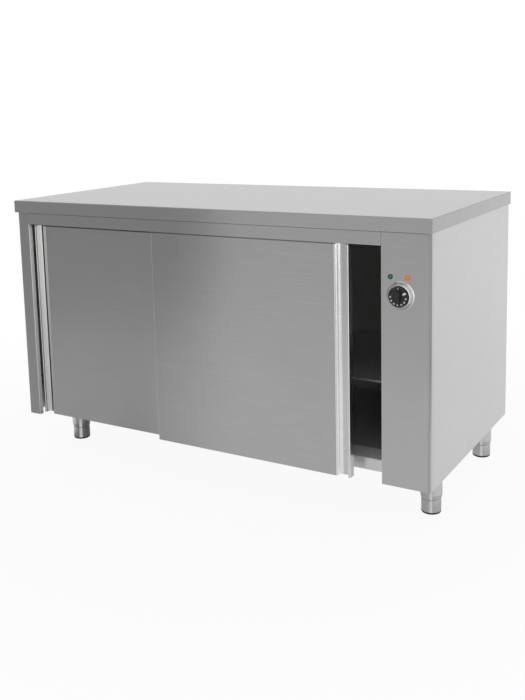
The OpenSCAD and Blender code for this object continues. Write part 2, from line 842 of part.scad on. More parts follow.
// Two treads on one axle, with collars that keep it central in its hanger
module roller() {
    e = roller_edge;
    a = tread_out;
    b = tread_in;
    c = hanger_t / 2 + roll_gap;
    r = axle_r + collar_h;
    rotate([-90, 0, 0]) rotate_extrude()
        polygon([[0, -a], [roller_r - e, -a], [roller_r, e - a], [roller_r, -b - e], [roller_r - e, -b],
            [r, -b], [r, -c], [axle_r, -c], [axle_r, c], [r, c], [r, b],
            [roller_r - e, b], [roller_r, b + e], [roller_r, a - e], [roller_r - e, a], [0, a]]);
}

module at_right_door() {
    place() translate([right_x, right_y, 0]) children();
}

module at_left_door() {
    place() translate([left_x + door_w, left_y, 0]) mirror([1, 0, 0]) children();
}

module right_door_skin() {
    color("lightgray") at_right_door() door_skin();
}

module right_door_liner() {
    color("silver") at_right_door() door_liner();
}

module right_door_core() {
    color("khaki") at_right_door() door_core();
}

module right_door_hangers() {
    color("slategray") at_right_door() door_hangers();
}

module left_door_skin() {
    color("lightgray") at_left_door() door_skin();
}

module left_door_liner() {
    color("silver") at_left_door() door_liner();
}

module left_door_core() {
    color("khaki") at_left_door() door_core();
}

module left_door_hangers() {
    color("slategray") at_left_door() door_hangers();
}

module right_roller_a() {
    color("white") place() translate([right_x + hanger_inset, track_y1, axle_z]) roller();
}

module right_roller_b() {
    color("white") place() translate([right_x + door_w - hanger_inset, track_y1, axle_z]) roller();
}

module left_roller_a() {
    color("white") place() translate([left_x + hanger_inset, track_y2, axle_z]) roller();
}

module left_roller_b() {
    color("white") place() translate([left_x + door_w - hanger_inset, track_y2, axle_z]) roller();
}

// What is drawn stands on the control panel's face at the knob's centre, towards the user
module at_dial() {
    place() translate([dial_x, body_f, dial_z]) rotate([90, 0, 0]) children();
}

// Disc with a bar to hold, on its own spindle
module thermostat_knob() {
    top = knob_gap + knob_disc_t;
    color("black") at_dial() {
        rotate_extrude() polygon([[0, knob_gap], [knob_r, knob_gap], [knob_r, top - knob_edge],
            [knob_r - knob_edge, top], [0, top]]);
        translate([0, 0, top]) linear_extrude(knob_bar_h) intersection() {
            circle(knob_r - knob_bar_in);
            square([knob_bar_w, 2 * knob_r], center = true);
        }
        translate([0, 0, -thermostat_d / 2]) cylinder(r = spindle_r, h = thermostat_d / 2 + top);
    }
}

module knob_bezel() {
    color("silver") at_dial() rotate_extrude()
        polygon([[bezel_inner_r, 0], [bezel_r, 0], [bezel_r, bezel_edge], [bezel_r - bezel_slope, bezel_t],
            [bezel_inner_r + bezel_edge, bezel_t], [bezel_inner_r, bezel_t - bezel_edge]]);
}

// Case behind the panel, with a neck through it that the spindle turns in
module thermostat() {
    color("dimgray") at_dial() difference() {
        union() {
            box([-thermostat_w / 2, -thermostat_w / 2, -skin_t - thermostat_d],
                [thermostat_w / 2, thermostat_w / 2, -skin_t]);
            translate([0, 0, -skin_t - cut]) cylinder(r = neck_r, h = skin_t + cut);
        }
        translate([0, 0, -thermostat_d / 2 - cut]) cylinder(r = spindle_r + run_gap, h = thermostat_d);
    }
}

// Domed lens on the panel, with its neck and nut behind
module lamp() {
    dome_r = (lamp_r * lamp_r + lamp_h * lamp_h) / (2 * lamp_h);
    intersection() {
        translate([0, 0, lamp_rim_t + lamp_h - dome_r]) sphere(dome_r);
        translate([0, 0, lamp_rim_t]) cylinder(r = lamp_r + cut, h = lamp_h + cut);
    }
    cylinder(r = lamp_r + lamp_rim, h = lamp_rim_t);
    translate([0, 0, -lamp_l]) cylinder(r = lamp_neck_r, h = lamp_l);
    translate([0, 0, -skin_t - lamp_nut_t]) cylinder(r = lamp_neck_r + lamp_nut_w, h = lamp_nut_t, $fn = 6);
}

module lamp_green() {
    color("green") place() translate([lamp_x - lamp_pitch / 2, body_f, lamp_z]) rotate([90, 0, 0]) lamp();
}

module lamp_orange() {
    color("orange") place() translate([lamp_x + lamp_pitch / 2, body_f, lamp_z]) rotate([90, 0, 0]) lamp();
}

// What is drawn along Z lies on the fan's axis and points at the control compartment
module at_fan(x) {
    place() translate([x, fan_y, fan_z]) rotate([0, 90, 0]) children();
}

module fan_motor() {
    cap_r = motor_r - motor_fin_h;
    color("slategray") at_fan(motor_x) difference() {
        union() {
            cylinder(r = motor_flange_r, h = motor_flange_t);
            cylinder(r = motor_r, h = motor_l);
            for (i = [0 : motor_fins - 1]) rotate(i * 360 / motor_fins)
                box([motor_r - cut, -motor_fin_t / 2, motor_fin_in],
                    [motor_r + motor_fin_h, motor_fin_t / 2, motor_l - motor_fin_in]);
            translate([0, 0, motor_l - cut])
                cylinder(r1 = cap_r, r2 = cap_r - motor_cap_h, h = motor_cap_h + cut);
        }
        translate([0, 0, -cut]) cylinder(r = fan_shaft_r + run_gap, h = motor_l - motor_end + cut);
    }
}

// Radial wheel: hub and shaft, back disc, swept blades and a front ring
module fan_impeller() {
    shaft = motor_x - fan_disc_x + motor_l - motor_end - shaft_end_gap;
    color("lightsteelblue") at_fan(fan_disc_x) {
        translate([0, 0, -fan_t]) cylinder(r = fan_shaft_r, h = fan_t + shaft);
        translate([0, 0, -fan_blade_h]) cylinder(r = fan_shaft_r + fan_hub_w, h = fan_blade_h + fan_hub_l);
        translate([0, 0, -fan_t]) cylinder(r = fan_r, h = fan_t);
        translate([0, 0, -fan_blade_h]) difference() {
            cylinder(r = fan_r, h = fan_t);
            translate([0, 0, -cut]) cylinder(r = fan_r - fan_ring_w, h = fan_t + 2 * cut);
        }
        for (i = [0 : fan_blades - 1]) rotate(i * 360 / fan_blades)
            translate([0, 0, fan_t / 2 - fan_blade_h]) linear_extrude(fan_blade_h - fan_t) intersection() {
                difference() {
                    circle(fan_r - fan_t);
                    circle(fan_inner_r);
                }
                translate([fan_inner_r, blade_r]) difference() {
                    circle(blade_r + fan_t / 2);
                    circle(blade_r - fan_t / 2);
                }
                translate([fan_inner_r - fan_t, -fan_t]) square([fan_r, blade_r]);
            }
    }
}

// Ring round the fan wheel with its two legs on a small flange on the wall
module heating_element() {
    m = heater_flange_w;
    reach = fan_gap + fan_blade_h / 2 - heater_flange_t;
    foot_x = heater_ring_r * cos(heater_gap);
    foot_y = heater_ring_r * sin(heater_gap);
    color("firebrick") at_fan(fan_disc_x - fan_blade_h / 2) {
        rotate(heater_gap) rotate_extrude(angle = 360 - 2 * heater_gap)
            translate([heater_ring_r, 0]) circle(heater_tube_r);
        for (s = [-1, 1]) translate([foot_x, s * foot_y, -heater_tube_r - cut])
            cylinder(r = heater_tube_r + cut, h = reach + heater_tube_r + 2 * cut);
        box([foot_x - m, -foot_y - m, reach], [foot_x + m, foot_y + m, reach + heater_flange_t]);
    }
}

// Square cover over the fan: holes in the middle take air in, slots at the rim blow it out
module fan_cover() {
    c = cover_half;
    row_h = intake_pitch * sqrt(3) / 2;
    rows = ceil(intake_r / row_h);
    color("gainsboro") at_fan(inner_r - cover_d) difference() {
        box([-c, -c, 0], [c, c, cover_d]);
        box([skin_t - c, skin_t - c, skin_t], [c - skin_t, c - skin_t, cover_d + cut]);
        for (i = [-2 * rows : 2 * rows], j = [-rows : rows]) {
            p = [(i + j / 2) * intake_pitch, j * row_h];
            if (norm(p) < intake_r) translate([p[0], p[1], -cut])
                cylinder(r = intake_hole_r, h = skin_t + 2 * cut);
        }
        for (a = [0 : 90 : 270], k = [0 : outlet_count - 1]) rotate(a)
            translate([c - skin_t - cut, (k - (outlet_count - 1) / 2) * outlet_pitch - outlet_l / 2,
                (cover_d - outlet_w) / 2])
                cube([skin_t + 2 * cut, outlet_l, outlet_w]);
    }
}

module terminal_block() {
    w = terminal_w / 2;
    d = terminal_d / 2;
    y = back_in - terminal_back - d;
    color("ivory") place() translate([body_r - rear_x, y, pan_z + skin_t]) difference() {
        box([-w, -d, 0], [w, d, terminal_h]);
        for (i = [0 : terminal_count - 1])
            translate([(i - (terminal_count - 1) / 2) * terminal_pitch, 0, terminal_h - terminal_well])
                cylinder(r = terminal_r, h = terminal_well + cut);
    }
}

// Collar, nut and neck round the mouth where the supply cable enters
module cable_gland() {
    neck = gland_bore_r + gland_wall;
    color("dimgray") place() translate([body_r - rear_x, back_in, leg_h + gland_up]) rotate([-90, 0, 0])
        difference() {
            union() {
                translate([0, 0, -gland_in]) cylinder(r = neck, h = gland_in + skin_t + cut);
                translate([0, 0, -gland_nut]) cylinder(r = gland_r, h = gland_nut, $fn = 6);
                translate([0, 0, skin_t]) cylinder(r = gland_r, h = gland_collar, $fn = 6);
                translate([0, 0, skin_t]) cylinder(r1 = neck + gland_wall, r2 = neck, h = gland_l);
            }
            translate([0, 0, -gland_in - cut])
                cylinder(r = gland_bore_r, h = gland_in + skin_t + gland_l + 2 * cut);
        }
}

// Sleeve under the base with the threaded bush that the foot screws into
module leg() {
    b = screw_r + run_gap;
    r = sleeve_r - sleeve_wall;
    top = pan_z - leg_plate_t;
    difference() {
        union() {
            rotate_extrude() polygon([[b, foot_h + roll_gap], [sleeve_end_r, foot_h + roll_gap],
                [sleeve_r, foot_h + sleeve_taper], [sleeve_r, top], [r, top], [r, foot_h + bush_l],
                [b, foot_h + bush_l]]);
            box([-leg_plate, -leg_plate, top], [leg_plate, leg_plate, pan_z]);
        }
        translate([0, 0, top - cut]) cylinder(r = r, h = leg_plate_t + 2 * cut);
    }
}

// Foot with a rounded rim and the screw that carries it
module screw_foot() {
    r = screw_foot_r;
    top = foot_h + screw_l;
    rotate_extrude() {
        polygon([[0, 0], [r - foot_sole, 0], [r - foot_sole, foot_sole], [r, foot_sole],
            [r, foot_h - foot_edge], [r - foot_edge, foot_h], [screw_r, foot_h],
            [screw_r, top - foot_edge], [screw_r - foot_edge, top], [0, top]]);
        translate([r - foot_sole, foot_sole]) mirror([0, 1]) quarter(foot_sole);
    }
}

module at_leg(right, rear) {
    place() translate([right ? worktop_w - leg_x : leg_x, rear ? worktop_d - leg_back : leg_front, 0])
        children();
}

module leg_front_left() {
    color("silver") at_leg(false, false) leg();
}

module leg_front_right() {
    color("silver") at_leg(true, false) leg();
}

module leg_rear_left() {
    color("silver") at_leg(false, true) leg();
}

module leg_rear_right() {
    color("silver") at_leg(true, true) leg();
}

module foot_front_left() {
    color("dimgray") at_leg(false, false) screw_foot();
}

module foot_front_right() {
    color("dimgray") at_leg(true, false) screw_foot();
}

module foot_rear_left() {
    color("dimgray") at_leg(false, true) screw_foot();
}

module foot_rear_right() {
    color("dimgray") at_leg(true, true) screw_foot();
}

worktop();
worktop_stiffeners();
left_side_panel();
right_side_panel();
control_panel();
back_panel();
base_pan();
front_fascia();
bottom_rail();
upper_track();
inner_ceiling();
inner_floor();
inner_left_wall();
inner_right_wall();
inner_back_wall();
partition();
insulation_left();
insulation_right();
insulation_back();
insulation_base();
insulation_top();
shelf();
shelf_support_left();
shelf_support_right();
door_guide();
door_buffers();
right_door_skin();
right_door_liner();
right_door_core();
right_door_hangers();
left_door_skin();
left_door_liner();
left_door_core();
left_door_hangers();
right_roller_a();
right_roller_b();
left_roller_a();
left_roller_b();
thermostat_knob();
knob_bezel();
thermostat();
lamp_green();
lamp_orange();
fan_motor();
fan_impeller();
fan_cover();
heating_element();
terminal_block();
cable_gland();
leg_front_left();
leg_front_right();
leg_rear_left();
leg_rear_right();
foot_front_left();
foot_front_right();
foot_rear_left();
foot_rear_right();
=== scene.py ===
# %% [markdown]
# # A stainless hot cupboard
# The cupboard is a catering counter of folded stainless sheet: a worktop, two sliding doors and a heated
# chamber behind them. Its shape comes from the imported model, where every part is already in metres and in
# its place. This script gives each part the finish of the real one, adds the small things that are printed
# or screwed on, and sets up the studio in which it was photographed.

import json
import math

import bmesh
import bpy
from mathutils import Matrix, Vector


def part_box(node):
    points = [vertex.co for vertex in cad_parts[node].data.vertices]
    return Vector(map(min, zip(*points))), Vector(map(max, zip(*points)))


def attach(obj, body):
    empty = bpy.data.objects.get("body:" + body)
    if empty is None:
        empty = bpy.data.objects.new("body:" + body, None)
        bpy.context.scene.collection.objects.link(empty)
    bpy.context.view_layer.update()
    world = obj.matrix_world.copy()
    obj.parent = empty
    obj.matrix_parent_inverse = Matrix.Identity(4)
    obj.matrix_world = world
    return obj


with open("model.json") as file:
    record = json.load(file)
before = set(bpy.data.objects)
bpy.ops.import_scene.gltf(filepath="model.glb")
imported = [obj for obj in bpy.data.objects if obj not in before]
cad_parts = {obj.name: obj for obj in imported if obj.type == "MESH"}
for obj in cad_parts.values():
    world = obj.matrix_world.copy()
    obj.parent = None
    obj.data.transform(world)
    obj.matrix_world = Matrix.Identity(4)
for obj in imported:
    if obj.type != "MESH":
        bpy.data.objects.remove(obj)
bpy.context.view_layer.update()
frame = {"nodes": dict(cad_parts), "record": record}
scene = bpy.context.scene
scene.view_settings.view_transform = "Standard"

# %% [markdown]
# ## Camera
# The picture was taken from the right, a little above the worktop. A camera can be aimed by eye, but here
# the edges of the cupboard in the picture give its place, its turn and its focal length. The picture was
# trimmed after it was taken, so the lens axis doesn't meet the middle of the frame. The lens shift moves the
# frame by that much and keeps the perspective.

# %% Camera from the picture's perspective
frame_w, frame_h = 525, 700
focal_px = 919.02
axis_px = Vector((242.91, 242.07))
camera_place = (1.4614, -2.4817, 1.1313)
camera_degrees = (81.437, 1.528, 31.212)

camera_data = bpy.data.cameras.new("studio_camera")
camera_data.sensor_width = 36
camera_data.lens = focal_px / frame_h * camera_data.sensor_width
camera_data.shift_x = (frame_w / 2 - axis_px.x) / frame_h
camera_data.shift_y = (axis_px.y - frame_h / 2) / frame_h
camera = bpy.data.objects.new("studio_camera", camera_data)
camera.location = camera_place
camera.rotation_euler = [math.radians(angle) for angle in camera_degrees]
scene.collection.objects.link(camera)
scene.camera = camera
print("lens:", round(camera_data.lens, 2), "mm")
print("shift:", round(camera_data.shift_x, 4), round(camera_data.shift_y, 4))

# %% [markdown]
# ## Floor
# The cupboard stands on a white floor, here a flat disc that is wide enough for the lower part of the
# picture. It belongs to the studio and not to the cupboard.

# %% Disc of the floor
floor_radius = 2.6
floor_sides = 96
floor_bm = bmesh.new()
bmesh.ops.create_circle(floor_bm, cap_ends=True, radius=floor_radius, segments=floor_sides)
floor_mesh = bpy.data.meshes.new("studio_floor")
floor_bm.to_mesh(floor_mesh)
floor_bm.free()
studio_floor = bpy.data.objects.new("studio_floor", floor_mesh)
scene.collection.objects.link(studio_floor)
print("floor across:", 2 * floor_radius, "m")

# %% [markdown]
# ## Wiring masks
# Many finishes here use masks: values from 0 to 1 that follow the place or the facing of the surface. Nodes
# could be wired one by one, but a helper for each kind keeps a mask to a line or two. All but the first add
# nodes to a tree and give back the output to go on with.

# %% Helpers for masks
def feed(tree, socket, value):
    """Link an input to another node's output, or set it to a plain value."""
    if isinstance(value, bpy.types.NodeSocket):
        tree.links.new(value, socket)
    else:
        socket.default_value = value


def math_node(tree, operation, first, second=0):
    """A math node whose two inputs are sockets or plain numbers."""
    node = tree.nodes.new("ShaderNodeMath")
    node.operation = operation
    feed(tree, node.inputs[0], first)
    feed(tree, node.inputs[1], second)
    return node.outputs[0]


def combined(tree, operation, first, *others):
    """Several values taken together, such as the product of masks that all have to hold."""
    for other in others:
        first = math_node(tree, operation, first, other)
    return first


def vector_node(tree, operation, first, second=(0, 0, 0)):
    """A vector math node. A length or a dot product is a number, the rest are vectors."""
    node = tree.nodes.new("ShaderNodeVectorMath")
    node.operation = operation
    feed(tree, node.inputs[0], first)
    feed(tree, node.inputs[1], second)
    return node.outputs["Value" if operation in ("LENGTH", "DOT_PRODUCT") else "Vector"]


def place(tree):
    """The place of a point of the surface, in metres."""
    return tree.nodes.new("ShaderNodeTexCoord").outputs["Object"]


def coordinate(tree, axis, kind="Object"):
    """One axis of the place in metres, or of another output of the texture coordinates."""
    split = tree.nodes.new("ShaderNodeSeparateXYZ")
    feed(tree, split.inputs["Vector"], tree.nodes.new("ShaderNodeTexCoord").outputs[kind])
    return split.outputs[axis]


def spread(tree, source, low, high, start=0.3, end=0.7):
    """The source turned into a value between low and high, as it goes from start to end."""
    node = tree.nodes.new("ShaderNodeMapRange")
    for label, value in (("From Min", start), ("From Max", end), ("To Min", low), ("To Max", high)):
        node.inputs[label].default_value = value
    feed(tree, node.inputs["Value"], source)
    return node.outputs["Result"]


print("helpers for masks are ready")

# %% [markdown]
# ## White of the floor
# A matt white surface still comes out grey where less light reaches it. So for the camera most of the floor's
# white is emission, and all of it further out, where it meets the white room. What is left is an ordinary
# matt surface, and it keeps the soft shadow under the cupboard.

# %% Matt floor that is white in the picture
floor_grey = 0.62
near_white, far_white = 0.93, 1.0
near_edge, far_edge = 0.9, 2.2

floor_finish = bpy.data.materials.new("white_floor")
floor_finish.use_nodes = True
floor_tree = floor_finish.node_tree
floor_tree.nodes.remove(floor_tree.nodes["Principled BSDF"])
matt = floor_tree.nodes.new("ShaderNodeBsdfDiffuse")
matt.inputs["Color"].default_value = (floor_grey, floor_grey, floor_grey, 1)
glow = floor_tree.nodes.new("ShaderNodeEmission")
rays = floor_tree.nodes.new("ShaderNodeLightPath").outputs
far_out = vector_node(floor_tree, "LENGTH", place(floor_tree))
whiteness = spread(floor_tree, far_out, near_white, far_white, near_edge, far_edge)
in_picture = math_node(floor_tree, "MULTIPLY", rays["Is Camera Ray"], whiteness)
print("white in the picture:", near_white, "to", far_white)

# %% [markdown]
# ## Floor in the steel
# Polished steel shows the floor too. The sides and the back see the floor beside them as white. The doors see
# it duller, with the same step of tone as the room in front has, along a slanting line.

# %% Pale and dull parts of the floor
step_axis = (0.834, -0.552, 0)
step_band = (-0.12, 0.26)
step_pale = 0.42
beside_white = 0.9
side_band, back_band, front_band = (0.68, 0.76), (0.34, 0.42), (-0.45, -0.35)

over_step = vector_node(floor_tree, "DOT_PRODUCT", place(floor_tree), step_axis)
pale_part = spread(floor_tree, over_step, 0, step_pale, *step_band)
off_middle = math_node(floor_tree, "ABSOLUTE", coordinate(floor_tree, "X"))
past_sides = spread(floor_tree, off_middle, 0, beside_white, *side_band)
past_back = spread(floor_tree, coordinate(floor_tree, "Y"), 0, beside_white, *back_band)
past_front = spread(floor_tree, coordinate(floor_tree, "Y"), 0, 1, *front_band)
beside = math_node(
    floor_tree, "MULTIPLY", math_node(floor_tree, "MAXIMUM", past_sides, past_back), past_front)
print("white in the steel: beside", beside_white, "before the doors up to", step_pale)

# %% [markdown]
# ## Streaks on the legs
# A round leg mirrors the floor close before it, squeezed into its narrow width. In the picture the legs have
# a bright upright streak, so a short wedge of floor at each leg is white to mirrors. All wedges point to one
# spot in front of the cupboard, as if light came from there. They end before the part of the floor that the
# doors show the camera.

# %% White wedges before the legs
leg_names = ("leg_front_left", "leg_front_right", "leg_rear_left", "leg_rear_right")
streak_spot = Vector((2.2, -5.3, 0))
wedge_slope, wedge_start, wedge_end = (0.12, 0.45), (0.025, 0.03), (0.25, 0.32)


def wedge(leg_name):
    """1 on a short wedge of floor that runs out from a leg towards the streaks' spot."""
    low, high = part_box(leg_name)
    foot = Vector(((low.x + high.x) / 2, (low.y + high.y) / 2, 0))
    out = (streak_spot - foot).normalized()
    square = Vector((-out.y, out.x, 0))
    reach_out = vector_node(floor_tree, "DOT_PRODUCT", place(floor_tree), out)
    reach_aside = vector_node(floor_tree, "DOT_PRODUCT", place(floor_tree), square)
    along = math_node(floor_tree, "SUBTRACT", reach_out, foot.dot(out))
    off_line = math_node(floor_tree, "SUBTRACT", reach_aside, foot.dot(square))
    aside = math_node(floor_tree, "ABSOLUTE", off_line)
    narrow = spread(floor_tree, math_node(floor_tree, "DIVIDE", aside, along), 1, 0, *wedge_slope)
    begun = spread(floor_tree, along, 0, 1, *wedge_start)
    not_ended = spread(floor_tree, along, 1, 0, *wedge_end)
    return combined(floor_tree, "MULTIPLY", narrow, begun, not_ended)


wedges = [wedge(name) for name in leg_names]
print("wedges before legs:", len(wedges))

# %% Floor finish put together
mirrored = math_node(floor_tree, "ADD", rays["Is Glossy Ray"], rays["Is Transmission Ray"])
white_part = combined(floor_tree, "MAXIMUM", pale_part, beside, *wedges)
in_mirror = math_node(floor_tree, "MULTIPLY", mirrored, white_part)
blend = floor_tree.nodes.new("ShaderNodeMixShader")
feed(floor_tree, blend.inputs["Fac"], math_node(floor_tree, "ADD", in_picture, in_mirror))
feed(floor_tree, blend.inputs[1], matt.outputs["BSDF"])
feed(floor_tree, blend.inputs[2], glow.outputs["Emission"])
feed(floor_tree, floor_tree.nodes["Material Output"].inputs["Surface"], blend.outputs["Shader"])
floor_mesh.materials.append(floor_finish)
print("floor finish:", floor_finish.name, "with", len(floor_tree.nodes), "nodes")

# %% [markdown]
# ## Studio
# Bare steel has little colour of its own: it shows the room. The room is white behind, beside and above the
# cupboard. The doors look towards its darker side, where the photographer stands, and half of that side is a
# paler wall: its edge is the upright step of tone that runs over the right door, the fascia and the worktop's
# edge. The world follows the angle round the room, with nought straight ahead of the doors and plus to the
# right, and a colour ramp gives the strength at each angle.

# %% Room that changes with the angle
room_levels = [
    (-180, 1.0), (-132, 1.0), (-122, 0.5), (-62, 0.5), (-50, 0.41), (-34.1, 0.35), (-33.1, 0.63), (-18, 0.60),
    (12, 0.68), (42, 1.0), (180, 1.0)]
ceiling_band = (0.5, 0.9)

world = bpy.data.worlds.new("studio")
world.use_nodes = True
scene.world = world
room = world.node_tree
ahead = math_node(room, "MULTIPLY", coordinate(room, "Y", "Generated"), -1)
bearing = math_node(room, "ARCTAN2", coordinate(room, "X", "Generated"), ahead)
level = room.nodes.new("ShaderNodeValToRGB")
stops = level.color_ramp.elements
while len(stops) < len(room_levels):
    stops.new(0.5)
for stop, (angle, grey) in zip(stops, room_levels):
    stop.position = (angle + 180) / 360
    stop.color = (grey, grey, grey, 1)
feed(room, level.inputs["Fac"], spread(room, bearing, 0, 1, -math.pi, math.pi))
overhead = spread(room, coordinate(room, "Z", "Generated"), 0, 1, *ceiling_band)
seen_by_camera = room.nodes.new("ShaderNodeLightPath").outputs["Is Camera Ray"]
brightest = combined(room, "MAXIMUM", level.outputs["Color"], overhead, seen_by_camera)
background = room.nodes["Background"].inputs
feed(room, background["Strength"], brightest)
background["Color"].default_value = (1, 1, 1, 1)
print("room levels:", [(round(360 * stop.position - 180), round(stop.color[0], 2)) for stop in stops])

# %% [markdown]
# ## Softbox
# One softbox stands low behind the camera. Rounded upright edges and the grips of the doors show it as
# bright lines. It is weak, so that less of the fronts burns out where they mirror it, and it stays below the
# worktop, so the top never mirrors it.

# %% One low softbox
softbox_w, softbox_h, softbox_z = 0.5, 0.7, 0.42
softbox_watts = 7
softbox_bearing, softbox_distance = math.radians(30), 5.0

lamp = bpy.data.lights.new("edge_softbox", "AREA")
lamp.shape = "RECTANGLE"
lamp.size, lamp.size_y = softbox_w, softbox_h
lamp.energy = softbox_watts
softbox = bpy.data.objects.new("edge_softbox", lamp)
softbox_way = Vector((math.sin(softbox_bearing), -math.cos(softbox_bearing), 0))
softbox.location = softbox_distance * softbox_way + Vector((0, 0, softbox_z))
softbox.rotation_euler = (-softbox_way).to_track_quat("-Z", "Y").to_euler()
softbox.visible_camera = False
scene.collection.objects.link(softbox)
print("softbox at:", [round(v, 2) for v in softbox.location])

# %% [markdown]
# ## Shared effects
# Several finishes have the same fine detail: brushing lines in steel, and the cloudy haze that wiping and
# hands leave. Each is built once as a node group. The brushing is noise that is stretched very long in one
# direction, and its Stretch input says in which.

# %% Brushing and haze groups
def noise_group(name, stretch, detail):
    """A group that puts out noise on the place, scaled by a Stretch vector."""
    group = bpy.data.node_groups.new(name, "ShaderNodeTree")
    entry_socket = group.interface.new_socket("Stretch", in_out="INPUT", socket_type="NodeSocketVector")
    entry_socket.default_value = stretch
    group.interface.new_socket("Pattern", in_out="OUTPUT", socket_type="NodeSocketFloat")
    entry = group.nodes.new("NodeGroupInput")
    result = group.nodes.new("NodeGroupOutput")
    noise = group.nodes.new("ShaderNodeTexNoise")
    noise.inputs["Scale"].default_value = 1
    noise.inputs["Detail"].default_value = detail
    stretched = vector_node(group, "MULTIPLY", place(group), entry.outputs["Stretch"])
    feed(group, noise.inputs["Vector"], stretched)
    feed(group, result.inputs["Pattern"], noise.outputs["Fac"])
    return group


along_x, along_y = (12, 900, 900), (900, 12, 900)
brushing = noise_group("brushing_lines", along_x, 4)
haze = noise_group("wiping_haze", (7, 7, 7), 3)
print("groups:", brushing.name, haze.name)

# %% [markdown]
# ## Wiring a finish
# Every finish of the cupboard is a Principled shader. Its colour changes a little over the surface, and in
# most finishes its roughness and relief do too. These helpers start a finish, place a group in it, and turn a
# pattern into tones or into a relief.

# %% Helpers for finishes
def new_finish(name, metallic, roughness):
    """A material, its node tree and the inputs of its Principled shader."""
    finish = bpy.data.materials.new(name)
    finish.use_nodes = True
    inputs = finish.node_tree.nodes["Principled BSDF"].inputs
    inputs["Metallic"].default_value = metallic
    inputs["Roughness"].default_value = roughness
    return finish, finish.node_tree, inputs


def pattern(tree, group, stretch):
    """The output of a noise group that is placed in a material with its own stretch."""
    node = tree.nodes.new("ShaderNodeGroup")
    node.node_tree = group
    node.inputs["Stretch"].default_value = stretch
    return node.outputs["Pattern"]


def tones(tree, source, dark, light, start=0.3, end=0.7):
    """The pattern turned into a colour between two tones."""
    node = tree.nodes.new("ShaderNodeValToRGB")
    for stop, position, colour in zip(node.color_ramp.elements, (start, end), (dark, light)):
        stop.position = position
        stop.color = (*colour, 1)
    feed(tree, node.inputs["Fac"], source)
    return node.outputs["Color"]


def relief(tree, inputs, source, strength, depth):
    """The pattern as a bump on the shader's normal."""
    node = tree.nodes.new("ShaderNodeBump")
    node.inputs["Strength"].default_value = strength
    node.inputs["Distance"].default_value = depth
    feed(tree, node.inputs["Height"], source)
    feed(tree, inputs["Normal"], node.outputs["Normal"])


finishes = {}
print("helpers for finishes are ready")

# %% [markdown]
# ## Brushed stainless sheet
# The sheet comes brushed from the mill. Along the lines it mirrors, across them it scatters, so a lamp in it
# is drawn out at right angles to the brushing. Anisotropy in the shader does that for the whole surface, and
# the stretched noise adds lines that show from close by. The sides are brushed from front to back, the rest
# from left to right.

# %% Brushed sheet
steel_tint = (1, 1, 0.995)
line_dark, line_light = 0.95, 1.04
line_strength, line_depth = 0.015, 0.0003
cloud_stretch, cloud_change = (5, 5, 5), 0.02
quarter_turn = 0.25


def brushed_sheet(name, tone, roughness, stretch, anisotropy):
    """Stainless sheet with brushing lines along the smallest of the stretch values."""
    finish, tree, inputs = new_finish(name, 1, roughness)
    inputs["Anisotropic"].default_value = anisotropy
    inputs["Anisotropic Rotation"].default_value = quarter_turn
    lines = pattern(tree, brushing, stretch)
    clouds = pattern(tree, haze, cloud_stretch)
    dark, light = ([share * tone * c for c in steel_tint] for share in (line_dark, line_light))
    feed(tree, inputs["Base Color"], tones(tree, lines, dark, light))
    feed(tree, inputs["Roughness"], spread(tree, clouds, roughness - cloud_change, roughness + cloud_change))
    relief(tree, inputs, lines, line_strength, line_depth)
    return finish


print("brushing lines:", line_dark, "to", line_light, "of the sheet's tone")

# %% One brushed finish for each kind of sheet
# Each line gives a name, a tone, a roughness, the way of the brushing and the anisotropy.
# Tones differ as painted light and shade: darker fronts, a paler rail, a much paler chamber and shelf.
sheets = {
    "worktop_steel": ("worktop_steel", 0.495, 0.34, along_x, 0.0),
    "body_steel": ("front_steel", 0.485, 0.18, along_x, 1.0),
    "side_steel": ("side_steel", 0.54, 0.30, along_y, 0.8),
    "rail_steel": ("rail_steel", 0.74, 0.34, along_x, 0.8),
    "door_steel": ("left_door_steel", 0.50, 0.18, along_x, 1.0),
    "right_door_steel": ("right_door_steel", 0.485, 0.18, along_x, 1.0),
    "chamber_steel": ("chamber_steel", 0.84, 0.55, along_x, 0.3),
    "shelf_steel": ("shelf_steel", 0.84, 0.55, along_x, 0.3),
    "floor_steel": ("floor_steel", 0.55, 0.78, along_x, 0.0)}
for slot, values in sheets.items():
    finishes[slot] = brushed_sheet(*values)
print("sheet finishes:", len(finishes))

# %% [markdown]
# ## Tone within one sheet
# One sheet isn't painted one tone. Bends are lightened as painted highlights, an edge that is turned down
# can be darkened as painted shade, and dark lines of painted shadow lie where a sheet passes close under
# another. Each of these is a mask by which the colour that is already wired gets darker or brighter.

# %% Shade by a mask
def mixed_colour(tree, blend_type, factor, first, second):
    """Two colours mixed by a factor."""
    node = tree.nodes.new("ShaderNodeMix")
    node.data_type = "RGBA"
    node.blend_type = blend_type
    for label, value in (("Factor", factor), ("A", first), ("B", second)):
        feed(tree, node.inputs[label], value)
    return node.outputs["Result"]


def shade(slot, source, factor, start=0, end=1):
    """Paint light or shade into a finish's colour, by a factor as the source goes from start to end."""
    tree = finishes[slot].node_tree
    colour = tree.nodes["Principled BSDF"].inputs["Base Color"]
    mask = spread(tree, source(tree), 0, 1, start, end)
    shaded = mixed_colour(
        tree, "MULTIPLY", mask, colour.links[0].from_socket, (factor, factor, factor, 1))
    feed(tree, colour, shaded)


def shades_in(*slots):
    """How many shades each finish has."""
    return {slot: sum(node.type == "MIX" for node in finishes[slot].node_tree.nodes) for slot in slots}


print("shades so far:", sum(shades_in(*finishes).values()))

# %% Masks by place and facing
turning, turned = (0.12, 0.3), (0.94, 0.98)
soft_edge = 0.0008


def height(tree):
    return coordinate(tree, "Z")


def depth(tree):
    return coordinate(tree, "Y")


def facing_front(tree):
    return math_node(tree, "MULTIPLY", coordinate(tree, "Y", "Normal"), -1)


def facing_right(tree):
    return coordinate(tree, "X", "Normal")


